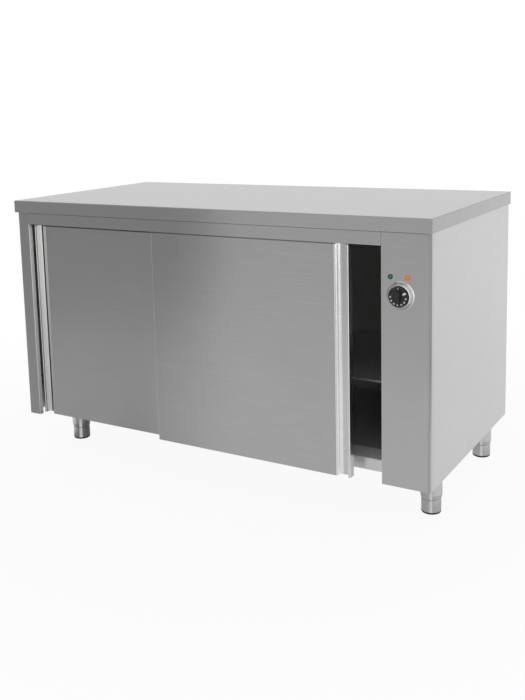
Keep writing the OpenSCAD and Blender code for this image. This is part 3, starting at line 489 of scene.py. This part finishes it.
def bend(tree, way):
    """1 on a bend that turns towards the right (way 1) or the left (way -1), 0 on flat sheet."""
    aside = math_node(tree, "MULTIPLY", facing_right(tree), way)
    out_of_front = spread(tree, aside, 0, 1, *turning)
    not_yet_side = spread(tree, aside, 1, 0, *turned)
    return math_node(tree, "MULTIPLY", out_of_front, not_yet_side)


def bent_right(tree):
    return bend(tree, 1)


def bent_left(tree):
    return bend(tree, -1)


def between(tree, start, end):
    """1 where X lies between two places, 0 elsewhere."""
    after = spread(tree, coordinate(tree, "X"), 0, 1, start - soft_edge, start)
    before = spread(tree, coordinate(tree, "X"), 1, 0, end, end + soft_edge)
    return math_node(tree, "MULTIPLY", after, before)


print("masks by place and facing are ready")

# %% [markdown]
# ## Worktop
# The worktop's top has been wiped so often that it is dull. Its turned-down edges stay as they came from the
# press: smoother, and drawn out along the brushing. So below the bend the roughness falls and the anisotropy
# rises. The edge at the right end is darkened as painted shade.

# %% Edges of the worktop
worktop_low, worktop_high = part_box("worktop")
below_bend = (worktop_high.z - 0.0022, worktop_high.z - 0.0030)
top_roughness, edge_roughness = 0.34, 0.19
squarely = (0.5, 0.7)

# Painted shade: the turned-down edge at the right end is darker.
shade("worktop_steel", facing_right, 0.73, *squarely)
tree = finishes["worktop_steel"].node_tree
inputs = tree.nodes["Principled BSDF"].inputs
feed(tree, inputs["Roughness"], spread(tree, height(tree), top_roughness, edge_roughness, *below_bend))
feed(tree, inputs["Anisotropic"], spread(tree, height(tree), 0, 1, *below_bend))
print("shades:", shades_in("worktop_steel"))

# %% [markdown]
# ## Fronts and sides
# Under the worktop's edge a dark line of painted shadow runs along the fascia. The bend beside the doors
# has a painted highlight, and so has the return of the stile at the left end. Lower down the fronts are
# painted a little paler, as if the floor lit them. The stile's face and the sides close to their front are
# painted a little darker as shade, and the rounded corner at the right end has painted shade in its
# upper part.

# %% Tones of the fronts and sides
line_under_top = (worktop_low.z - 0.0045, worktop_low.z - 0.0025)
side_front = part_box("right_side_panel")[0].y
near_front = (side_front + 0.032, side_front + 0.008)
left_end, right_end = (-0.62, -0.60), (0.60, 0.62)
upper_part = (0.25, 0.45)


def stile_return(tree):
    """1 on what faces right at the left end of the cupboard: the inner return of the stile."""
    at_left_end = spread(tree, coordinate(tree, "X"), 1, 0, *left_end)
    return math_node(tree, "MULTIPLY", at_left_end, spread(tree, facing_right(tree), 0, 1, *turning))


def right_corner(tree):
    """1 on the upper part of the rounded front corner at the right end."""
    at_right_end = spread(tree, coordinate(tree, "X"), 0, 1, *right_end)
    high_up = spread(tree, height(tree), 0, 1, *upper_part)
    return combined(tree, "MULTIPLY", bent_right(tree), at_right_end, high_up)


# Painted shadow under the worktop's edge, a painted highlight on the bend, painted light lower down.
shade("body_steel", height, 0.55, *line_under_top)
shade("body_steel", bent_left, 1.7)
shade("body_steel", height, 1.12, start=0.5, end=0.15)
# Painted shade on the stile's face, the corner's upper part and the sides' front; a highlight on the return.
shade("side_steel", facing_front, 0.90, *squarely)
shade("side_steel", stile_return, 1.45)
shade("side_steel", right_corner, 0.65)
shade("side_steel", depth, 0.93, *near_front)
print("shades:", shades_in("body_steel", "side_steel"))

# %% [markdown]
# ## Grip of the left door
# A door is pulled by a groove: behind a lip at its edge the sheet dips in, and then it comes out again as the
# front. The groove works like a mirror with two walls, so bands of very different tone lie side by side in
# it, and here they are painted. The half of its floor next to the front lies in painted shadow, and the half
# next to the lip has a painted highlight, as have what faces right and the bends that face left. A dark
# line of painted shadow lies under the fascia, and lower down the door is painted paler. The press has left
# the whole grip satin, which is a rougher and less stretched reflection.

# %% Tones of the left door
grip_w = 0.0405
satin_anisotropy = 0.6
fascia_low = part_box("front_fascia")[0]
left_line = (fascia_low.z - 0.0115, fascia_low.z - 0.0095)
left_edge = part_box("left_door_skin")[0].x
dark_half, bright_half = (0.0185, 0.0365), (0.0095, 0.0177)
flat_facing = (0.9, 0.98)


def satin(slot, start, rougher):
    """A rougher and less stretched reflection over the width of a grip."""
    tree = finishes[slot].node_tree
    inputs = tree.nodes["Principled BSDF"].inputs
    strip = between(tree, start, start + grip_w)
    clouds = inputs["Roughness"].links[0].from_socket
    feed(tree, inputs["Roughness"], math_node(tree, "ADD", clouds, spread(tree, strip, 0, rougher, 0, 1)))
    feed(tree, inputs["Anisotropic"], spread(tree, strip, 1, satin_anisotropy, 0, 1))


def groove_floor(tree, start, end):
    """1 on the groove's floor between two distances from the left door's edge."""
    flat = spread(tree, facing_front(tree), 0, 1, *flat_facing)
    return math_node(tree, "MULTIPLY", flat, between(tree, left_edge + start, left_edge + end))


def left_dark_half(tree):
    return groove_floor(tree, *dark_half)


def left_bright_half(tree):
    return groove_floor(tree, *bright_half)


# Painted shadow under the fascia, and painted light lower down.
shade("door_steel", height, 0.22, *left_line)
shade("door_steel", height, 1.1, start=0.5, end=0.12)
# Painted highlights where the grip faces right, on the left-facing bends and the groove's bright half.
shade("door_steel", facing_right, 1.9, *turning)
shade("door_steel", bent_left, 1.6)
shade("door_steel", left_bright_half, 1.28)
# Painted shadow on the half of the groove's floor next to the front.
shade("door_steel", left_dark_half, 0.15)
satin("door_steel", left_edge, 0.12)
print("shades:", shades_in("door_steel"))

# %% [markdown]
# ## Grip of the right door
# The right door's grip lies at its other edge and looks the other way, towards the light. Its bends have
# painted highlights. The groove's wall with the floor beside it, and the lip, are painted brighter towards
# the foot of the door, a painted reflection of the white floor. A dark line of painted shadow lies under the
# fascia, and lower down the door is painted paler.

# %% Tones of the right door
right_line = (fascia_low.z - 0.0055, fascia_low.z - 0.0035)
right_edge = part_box("right_door_skin")[1].x
groove_band, lip_band, bend_w = (0.0405, 0.0285), 0.0277, 0.007
low_band = (0.35, 0.70)


def lower_down(tree, least):
    """A share that grows from least, high up, to 1 towards the foot of a door."""
    foot = spread(tree, height(tree), 1, 0, *low_band)
    return spread(tree, foot, least, 1, 0, 1)


def right_groove(tree):
    """Up to 1 on the wall of the right door's groove and the half of its floor beside it."""
    inside = between(tree, right_edge - groove_band[0], right_edge - groove_band[1])
    return math_node(tree, "MULTIPLY", inside, lower_down(tree, 0.6))


def right_lip(tree):
    """Up to 1 on the right door's lip with the rest of the groove's floor."""
    outside = between(tree, right_edge - lip_band, right_edge)
    return math_node(tree, "MULTIPLY", outside, lower_down(tree, 0.4))


def right_bend(tree):
    """1 on the bend of the right door's outer edge."""
    return math_node(tree, "MULTIPLY", bent_right(tree), between(tree, right_edge - bend_w, right_edge))


# Painted shadow under the fascia, and painted light lower down.
shade("right_door_steel", height, 0.38, *right_line)
shade("right_door_steel", height, 1.09, start=0.45, end=0.15)
# Painted highlights on the bends, and painted reflections of the floor in the groove and on the lip.
shade("right_door_steel", right_bend, 1.9)
shade("right_door_steel", bent_left, 1.9)
shade("right_door_steel", right_groove, 1.88)
shade("right_door_steel", right_lip, 1.32)
satin("right_door_steel", right_edge - grip_w, 0.07)
print("shades:", shades_in("right_door_steel"))

# %% [markdown]
# ## Inside of the chamber
# Through the open door the chamber is dim. The front strip of its floor is painted bright, as painted light
# from the opening, the walls are painted a little paler below the shelf, as painted light against its shade,
# and the shelf's lip is painted darker than its top, as painted shade.

# %% Tones of the chamber
floor_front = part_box("inner_floor")[0].y
opening_light_strip = (floor_front + 0.078, floor_front + 0.070)
below_shelf = (0.42, 0.36)
lip_facing = (0.3, 0.6)
# Painted light on the floor's front strip and on the walls below the shelf; painted shade on the shelf's lip.
shade("floor_steel", depth, 1.75, *opening_light_strip)
shade("chamber_steel", height, 1.12, *below_shelf)
shade("shelf_steel", facing_front, 0.65, *lip_facing)
print("shades:", shades_in("floor_steel", "chamber_steel", "shelf_steel"))

# %% [markdown]
# ## Legs and feet
# The legs are turned stainless tube with fine rings. The lowest few millimetres of each foot are black and
# not metallic: a mask by height on the foot's surface gives them that colour.

# %% Turned tube with a black band at the foot
foot_band_top = (0.0062, 0.0068)
foot_band_black = (0.02, 0.02, 0.022, 1)
leg_roughness = (0.14, 0.20)

leg_finish, tree, inputs = new_finish("leg_steel", 1, 0.17)
inputs["Anisotropic"].default_value = 1.0
inputs["Anisotropic Rotation"].default_value = quarter_turn
rings = pattern(tree, brushing, (25, 25, 1800))
above_foot_band = spread(tree, height(tree), 0, 1, *foot_band_top)
tube = tones(tree, rings, (0.48, 0.48, 0.48), (0.56, 0.56, 0.556))
feed(tree, inputs["Base Color"], mixed_colour(tree, "MIX", above_foot_band, foot_band_black, tube))
feed(tree, inputs["Metallic"], above_foot_band)
feed(tree, inputs["Roughness"], spread(tree, rings, *leg_roughness))
relief(tree, inputs, rings, 0.05, 0.0002)
finishes["leg_steel"] = leg_finish
print("leg finish:", leg_finish.name)

# %% [markdown]
# ## Metals inside
# Hidden brackets are galvanised, which shows as large grey crystals. The door track and the fan wheel are
# aluminium, the motor is cast, and the heater tube has gone brown and blue with heat. A Voronoi texture makes
# the crystals, and noise makes the grain and the heat tints.

# %% Galvanised, aluminium, cast and heated metal
mark_change, mark_strength = 0.05, 0.25


def spangled(name):
    """Galvanised sheet with zinc crystals."""
    finish, tree, inputs = new_finish(name, 1, 0.45)
    crystals = tree.nodes.new("ShaderNodeTexVoronoi")
    crystals.inputs["Scale"].default_value = 130
    feed(tree, crystals.inputs["Vector"], place(tree))
    grey = tree.nodes.new("ShaderNodeSeparateColor")
    feed(tree, grey.inputs["Color"], crystals.outputs["Color"])
    tone = tones(tree, grey.outputs["Red"], (0.40, 0.42, 0.44), (0.56, 0.58, 0.60), 0, 1)
    feed(tree, inputs["Base Color"], tone)
    feed(tree, inputs["Roughness"], spread(tree, grey.outputs["Green"], 0.36, 0.54, 0, 1))
    finishes[name] = finish


def mottled(name, metallic, roughness, dark, light, stretch, depth):
    """A surface whose colour, roughness and relief follow one noise."""
    finish, tree, inputs = new_finish(name, metallic, roughness)
    marks = pattern(tree, haze, stretch)
    feed(tree, inputs["Base Color"], tones(tree, marks, dark, light))
    feed(tree, inputs["Roughness"], spread(tree, marks, roughness - mark_change, roughness + mark_change))
    relief(tree, inputs, marks, mark_strength, depth)
    finishes[name] = finish


spangled("zinc_steel")
mottled("track_aluminium", 1, 0.38, (0.58, 0.59, 0.60), (0.70, 0.71, 0.72), (6, 700, 700), 0.0002)
mottled("motor_metal", 0.8, 0.55, (0.16, 0.165, 0.17), (0.25, 0.255, 0.26), (500, 500, 500), 0.0004)
mottled("heater_tube", 1, 0.42, (0.16, 0.11, 0.08), (0.30, 0.27, 0.30), (40, 40, 40), 0.0002)
print("inner metals:", list(finishes)[-4:])

# %% [markdown]
# ## Wool, nylon, rubber and plastics
# The slabs between the sheets are mineral wool, a mat of ochre fibres. Rollers and the door guide are nylon,
# the stops rubber, and the knob a moulded black plastic with a fine grain. None is one flat colour: each gets
# its own noise at the size of its real grain.

# %% Soft and moulded materials
mottled("insulation", 0, 0.9, (0.34, 0.25, 0.10), (0.62, 0.52, 0.28), (60, 420, 420), 0.003)
mottled("nylon", 0, 0.42, (0.70, 0.68, 0.62), (0.78, 0.76, 0.71), (260, 260, 260), 0.0001)
mottled("rubber", 0, 0.75, (0.014, 0.014, 0.015), (0.030, 0.030, 0.032), (700, 700, 700), 0.0003)
mottled("black_plastic", 0, 0.42, (0.010, 0.010, 0.011), (0.020, 0.020, 0.022), (1500, 1500, 1500), 0.0002)
mottled("pale_plastic", 0, 0.45, (0.55, 0.53, 0.47), (0.63, 0.61, 0.55), (900, 900, 900), 0.0001)
print("soft and moulded:", list(finishes)[-5:])

# %% [markdown]
# ## Bezel
# The ring round the knob is satin chrome: a duller slope between two rims with painted highlights, with the
# faint circles of its turning. All of that follows the distance from the ring's own axis, which three vector
# nodes give: one puts the ring's middle at nought, one drops the front-to-back part and one takes the length.

# %% Satin chrome ring
def distance_from_axis(tree, node_name):
    """Distance in metres from the front-to-back axis through the middle of a part."""
    low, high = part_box(node_name)
    centred = vector_node(tree, "SUBTRACT", place(tree), (low + high) / 2)
    return vector_node(tree, "LENGTH", vector_node(tree, "MULTIPLY", centred, (1, 0, 1)))


def steps(tree, radius, pitch):
    """Rings of a given pitch round the axis, from 0 to 1."""
    return math_node(tree, "PINGPONG", math_node(tree, "DIVIDE", radius, pitch), 1)


slope_middle = 0.0045
rim_band = (0.0022, 0.0034)
turning_pitch = 0.0004
bezel_low, bezel_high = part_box("knob_bezel")
bezel_r = (bezel_high.x - bezel_low.x) / 2
bezel_finish, tree, inputs = new_finish("bezel_chrome", 0.6, 0.2)
radius = distance_from_axis(tree, "knob_bezel")
from_slope = math_node(tree, "ABSOLUTE", math_node(tree, "SUBTRACT", radius, bezel_r - slope_middle))
# Painted highlights: the two rims get a paler tone than the slope.
rim_highlights = spread(tree, from_slope, 0, 1, *rim_band)
feed(tree, inputs["Base Color"], tones(tree, rim_highlights, (0.50, 0.505, 0.51), (0.90, 0.905, 0.91), 0, 1))
feed(tree, inputs["Roughness"], spread(tree, steps(tree, radius, turning_pitch), 0.16, 0.24, 0, 1))
finishes["bezel_chrome"] = bezel_finish
print("bezel radius:", round(bezel_r, 4), "m")

# %% [markdown]
# ## Lamps
# Each lamp is a small domed lens: paler in the middle, where the light is, and darker towards its rim. The
# distance from the lamp's axis gives that change too, and rings of relief stand for the moulded steps inside.

# %% Coloured lenses
lens_band = (0.001, 0.0065)
lens_pitch = 0.0011


def lens(name, node_name, middle, rim, glow_strength):
    """A domed coloured lens with a glow of its own."""
    finish, tree, inputs = new_finish(name, 0, 0.24)
    inputs["Coat Weight"].default_value = 0.1
    inputs["Emission Strength"].default_value = glow_strength
    radius = distance_from_axis(tree, node_name)
    colour = tones(tree, spread(tree, radius, 0, 1, *lens_band), middle, rim, 0.1, 0.8)
    feed(tree, inputs["Base Color"], colour)
    feed(tree, inputs["Emission Color"], colour)
    relief(tree, inputs, steps(tree, radius, lens_pitch), 0.3, 0.0003)
    finishes[name] = finish


lens("lens_green", "lamp_green", (0.004, 0.22, 0.10), (0.0, 0.07, 0.03), 0.05)
lens("lens_orange", "lamp_orange", (0.90, 0.24, 0.05), (0.78, 0.17, 0.02), 0.12)
print("lenses:", list(finishes)[-2:])

# %% [markdown]
# ## Dressing the parts
# The record names a finish for every part. A few parts take a version of it: the side panels are brushed
# from front to back, the right door has a grip of its own, the chamber's floor and shelf have their own
# painted light and shade, and the bottom rail's paler tone is painted light.

# %% Give each part its finish
slot_of = {part["node"]: part["material_slot"] for part in frame["record"]["subparts"]}
versions = {
    "left_side_panel": "side_steel", "right_side_panel": "side_steel", "bottom_rail": "rail_steel",
    "right_door_skin": "right_door_steel", "inner_floor": "floor_steel", "shelf": "shelf_steel"}
for node_name, node in frame["nodes"].items():
    node.data.materials.clear()
    node.data.materials.append(finishes[versions.get(node_name, slot_of[node_name])])
print("dressed:", len(frame["nodes"]), "parts, of which", len(versions), "wear a version")

# %% [markdown]
# ## Printed dial
# The scale is printed in white on the knob itself and turns with it: a tick at the off position, the
# temperatures in tens of degrees, and a broad mark at the end of the scale. Numbers come from Blender's own
# font, are made a mesh, and only then laid on the knob's face, so that their place is in the mesh.

# %% Place on the knob's face
knob_low, knob_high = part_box("thermostat_knob")
bar_rise = 0.009
dial_centre = Vector(((knob_low.x + knob_high.x) / 2, knob_low.y + bar_rise, (knob_low.z + knob_high.z) / 2))
print_t = 0.00015
mottled("dial_white", 0, 0.5, (0.80, 0.80, 0.79), (0.88, 0.88, 0.87), (1200, 1200, 1200), 0.0001)


def on_dial(clock_degrees, radius):
    """A frame on the knob's face, with up away from the centre, at a clock angle and a radius."""
    face = Matrix.Translation(dial_centre) @ Matrix.Rotation(math.radians(90), 4, "X")
    clock_turn = Matrix.Rotation(math.radians(-clock_degrees), 4, "Z")
    return face @ clock_turn @ Matrix.Translation((0, radius, 0))


def finished_piece(name, mesh, body, finish):
    """An object at the origin that rides on a body and wears a finish."""
    piece = bpy.data.objects.new(name, mesh)
    scene.collection.objects.link(piece)
    mesh.materials.clear()
    mesh.materials.append(finish)
    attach(piece, body)
    return piece


print("dial centre:", [round(v, 4) for v in dial_centre])

# %% Numbers of the scale
figure_size, figure_radius, figure_weight = 0.0052, 0.0205, 0.00018
first_angle, angle_step = 267, -28
degrees_shown = range(30, 100, 10)


def number_mesh(text):
    """Raised figures as a mesh, centred on the origin."""
    words = bpy.data.curves.new("figures", "FONT")
    words.body = text
    words.size = figure_size
    words.align_x = "CENTER"
    words.align_y = "CENTER"
    words.extrude = print_t
    words.offset = figure_weight
    holder = bpy.data.objects.new("figures", words)
    scene.collection.objects.link(holder)
    bpy.context.view_layer.update()
    mesh = bpy.data.meshes.new_from_object(holder.evaluated_get(bpy.context.evaluated_depsgraph_get()))
    bpy.data.objects.remove(holder)
    return mesh


for i, degrees in enumerate(degrees_shown):
    figures = number_mesh(str(degrees))
    figures.transform(on_dial(first_angle + i * angle_step, figure_radius))
    finished_piece(f"dial_number_{degrees}", figures, "knob", finishes["dial_white"])
print("numbers:", list(degrees_shown))

# %% Tick and end mark
def printed_bar(name, width, length, clock_degrees, radius):
    """A small printed bar with rounded corners on the knob's face."""
    bm = bmesh.new()
    bmesh.ops.create_cube(bm, size=1)
    bmesh.ops.scale(bm, vec=(width, length, 2 * print_t), verts=bm.verts)
    upright = [e for e in bm.edges if abs(e.verts[0].co.z - e.verts[1].co.z) > print_t]
    bmesh.ops.bevel(
        bm, geom=upright, offset=0.3 * width, affect="EDGES", segments=3, profile=0.5, material=-1)
    bm.transform(on_dial(clock_degrees, radius))
    mesh = bpy.data.meshes.new(name)
    bm.to_mesh(mesh)
    bm.free()
    return finished_piece(name, mesh, "knob", finishes["dial_white"])


printed_bar("dial_off_tick", width=0.0013, length=0.0042, clock_degrees=0, radius=0.0220)
printed_bar("dial_end_mark", width=0.0050, length=0.0098, clock_degrees=62, radius=0.0188)

# %% [markdown]
# ## Screws and bolts
# Small fasteners aren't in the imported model. A round-headed screw starts as a short cylinder: a bevel rounds
# its rim, an inset makes the drive, and pairs of points of that inset are drawn in to give six lobes. A hex
# bolt is a six-sided cylinder with its corners broken, on a round washer. Each set of them is one piece.

# %% Shapes of the fasteners
round_sides = 24
head_round, drive_in, lobe_in, wall_in, drive_deep = 0.6, 0.28, 0.72, 0.06, 0.55
corner_break, washer_r, washer_t = 0.08, 0.9, 0.22


def cylinder(bm, sides, radius, rise):
    """A short cylinder that stands on z = 0."""
    made = bmesh.ops.create_cone(
        bm, cap_ends=True, segments=sides, radius1=radius, radius2=radius, depth=rise)
    bmesh.ops.translate(bm, vec=(0, 0, rise / 2), verts=made["verts"])


def lobed_screw(radius, rise):
    """A round-headed screw with a six-lobed drive, standing on z = 0."""
    bm = bmesh.new()
    cylinder(bm, round_sides, radius, rise)
    top_rim = [e for e in bm.edges if min(v.co.z for v in e.verts) > 0.9 * rise]
    bmesh.ops.bevel(
        bm, geom=top_rim, offset=head_round * rise, affect="EDGES", segments=4, profile=0.5, material=-1)
    cap = max(bm.faces, key=lambda f: f.calc_center_median().z)
    bmesh.ops.inset_individual(bm, faces=[cap], thickness=drive_in * radius, depth=0)
    for i, corner in enumerate(cap.verts):
        if i % 4 in (1, 2):
            corner.co.xy *= lobe_in
    bmesh.ops.inset_individual(bm, faces=[cap], thickness=wall_in * radius, depth=-drive_deep * rise)
    return bm


def washer_bolt(across, rise):
    """A hexagon bolt on its washer, standing on z = 0."""
    bm = bmesh.new()
    cylinder(bm, 6, across / math.sqrt(3), rise)
    edges = bm.edges[:]
    bmesh.ops.bevel(
        bm, geom=edges, offset=corner_break * across, affect="EDGES", segments=2, profile=0.5, material=-1)
    cylinder(bm, round_sides, washer_r * across, washer_t * rise)
    return bm


def set_out(name, shape, frames):
    """One piece of zinc-plated steel on the cabinet, with a copy of a shape at each frame."""
    bm = bmesh.new()
    seed = bpy.data.meshes.new(name + "_seed")
    shape.to_mesh(seed)
    shape.free()
    for frame_matrix in frames:
        copy = seed.copy()
        copy.transform(frame_matrix)
        bm.from_mesh(copy)
        bpy.data.meshes.remove(copy)
    bpy.data.meshes.remove(seed)
    mesh = bpy.data.meshes.new(name)
    bm.to_mesh(mesh)
    bm.free()
    finished_piece(name, mesh, "cabinet", finishes["zinc_steel"])
    print(name + ":", len(frames), "pieces,", len(mesh.polygons), "faces")


print("fastener shapes are ready")

# %% [markdown]
# ## Back panel screws
# The back sheet comes off for service, so it is screwed to the side panels and to the base. The screws stand
# in rows close to its edges, evenly spaced between the corners.

# %% Screws round the back panel
back_low, back_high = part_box("back_panel")
edge_in = 0.012
turn_to_back = Matrix.Rotation(math.radians(-90), 4, "X")


def evenly(low, high, count):
    """Places at equal steps, from a little inside one edge to a little inside the other."""
    return [low + edge_in + i / (count - 1) * (high - low - 2 * edge_in) for i in range(count)]


rows = evenly(back_low.z, back_high.z, 5)
columns = evenly(back_low.x, back_high.x, 6)
spots = [
    (x, z) for z in rows for x in columns if z in (rows[0], rows[-1]) or x in (columns[0], columns[-1])]
back_frames = [Matrix.Translation((x, back_high.y, z)) @ turn_to_back for x, z in spots]
set_out("back_panel_screws", lobed_screw(radius=0.004, rise=0.0022), back_frames)

# %% [markdown]
# ## Leg bolts
# Each leg has a square plate under the base, held by a bolt in every corner. They face the floor and show
# only from below, but the legs would hang on nothing without them.

# %% Four bolts for each leg
bolt_out, plate_t = 0.028, 0.003
turn_down = Matrix.Rotation(math.pi, 4, "X")
bolt_frames = []
for leg_name in leg_names:
    leg_low, leg_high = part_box(leg_name)
    leg_middle = (leg_low + leg_high) / 2
    for side_x in (-1, 1):
        for side_y in (-1, 1):
            corner_out = Vector((side_x * bolt_out, side_y * bolt_out, 0))
            spot = Vector((leg_middle.x, leg_middle.y, leg_high.z - plate_t)) + corner_out
            bolt_frames.append(Matrix.Translation(spot) @ turn_down)
set_out("leg_bolts", washer_bolt(across=0.006, rise=0.003), bolt_frames)

# %% [markdown]
# ## Screws inside
# With the doors open, more screws show: four hold the fan's cover on the chamber wall, and three hold each
# angle under the shelf. In the control compartment four hold the motor, and one stands in each well of the
# terminal block. All take their places from the boxes of the parts that they hold.

# %% Screws of the fan cover and the shelf angles
turn_to_left = Matrix.Rotation(math.radians(-90), 4, "Y")
turn_to_right = Matrix.Rotation(math.radians(90), 4, "Y")
cover_in = 0.014
angle_t, angle_up = 0.0015, 0.011

cover_low, cover_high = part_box("fan_cover")
cover_frames = [
    Matrix.Translation((cover_low.x, y, z)) @ turn_to_left
    for y in (cover_low.y + cover_in, cover_high.y - cover_in)
    for z in (cover_low.z + cover_in, cover_high.z - cover_in)]
set_out("fan_cover_screws", lobed_screw(radius=0.0045, rise=0.0024), cover_frames)

left_low, left_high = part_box("shelf_support_left")
right_low, right_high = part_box("shelf_support_right")
angle_frames = []
for low, high, x, facing in (
        (left_low, left_high, left_low.x + angle_t, turn_to_right),
        (right_low, right_high, right_high.x - angle_t, turn_to_left)):
    for share in (0.1, 0.5, 0.9):
        spot = Vector((x, low.y + share * (high.y - low.y), low.z + angle_up))
        angle_frames.append(Matrix.Translation(spot) @ facing)
set_out("angle_screws", lobed_screw(radius=0.004, rise=0.0022), angle_frames)

# %% Screws of the motor and the terminals
motor_low, motor_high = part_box("fan_motor")
motor_middle = (motor_low + motor_high) / 2
flange_t, screw_circle_r = 0.003, 0.047
motor_frames = []
for i in range(4):
    round_axis = math.radians(45 + 90 * i)
    spot = Vector((
        motor_low.x + flange_t,
        motor_middle.y + screw_circle_r * math.cos(round_axis),
        motor_middle.z + screw_circle_r * math.sin(round_axis)))
    motor_frames.append(Matrix.Translation(spot) @ turn_to_right)
set_out("motor_screws", lobed_screw(radius=0.0035, rise=0.0022), motor_frames)

block_low, block_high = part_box("terminal_block")
block_middle = (block_low + block_high) / 2
well_pitch, well_depth = 0.015, 0.016
terminal_frames = [
    Matrix.Translation((block_middle.x + well_pitch * i, block_middle.y, block_high.z - well_depth))
    for i in range(-2, 3)]
set_out("terminal_screws", lobed_screw(radius=0.0032, rise=0.0024), terminal_frames)
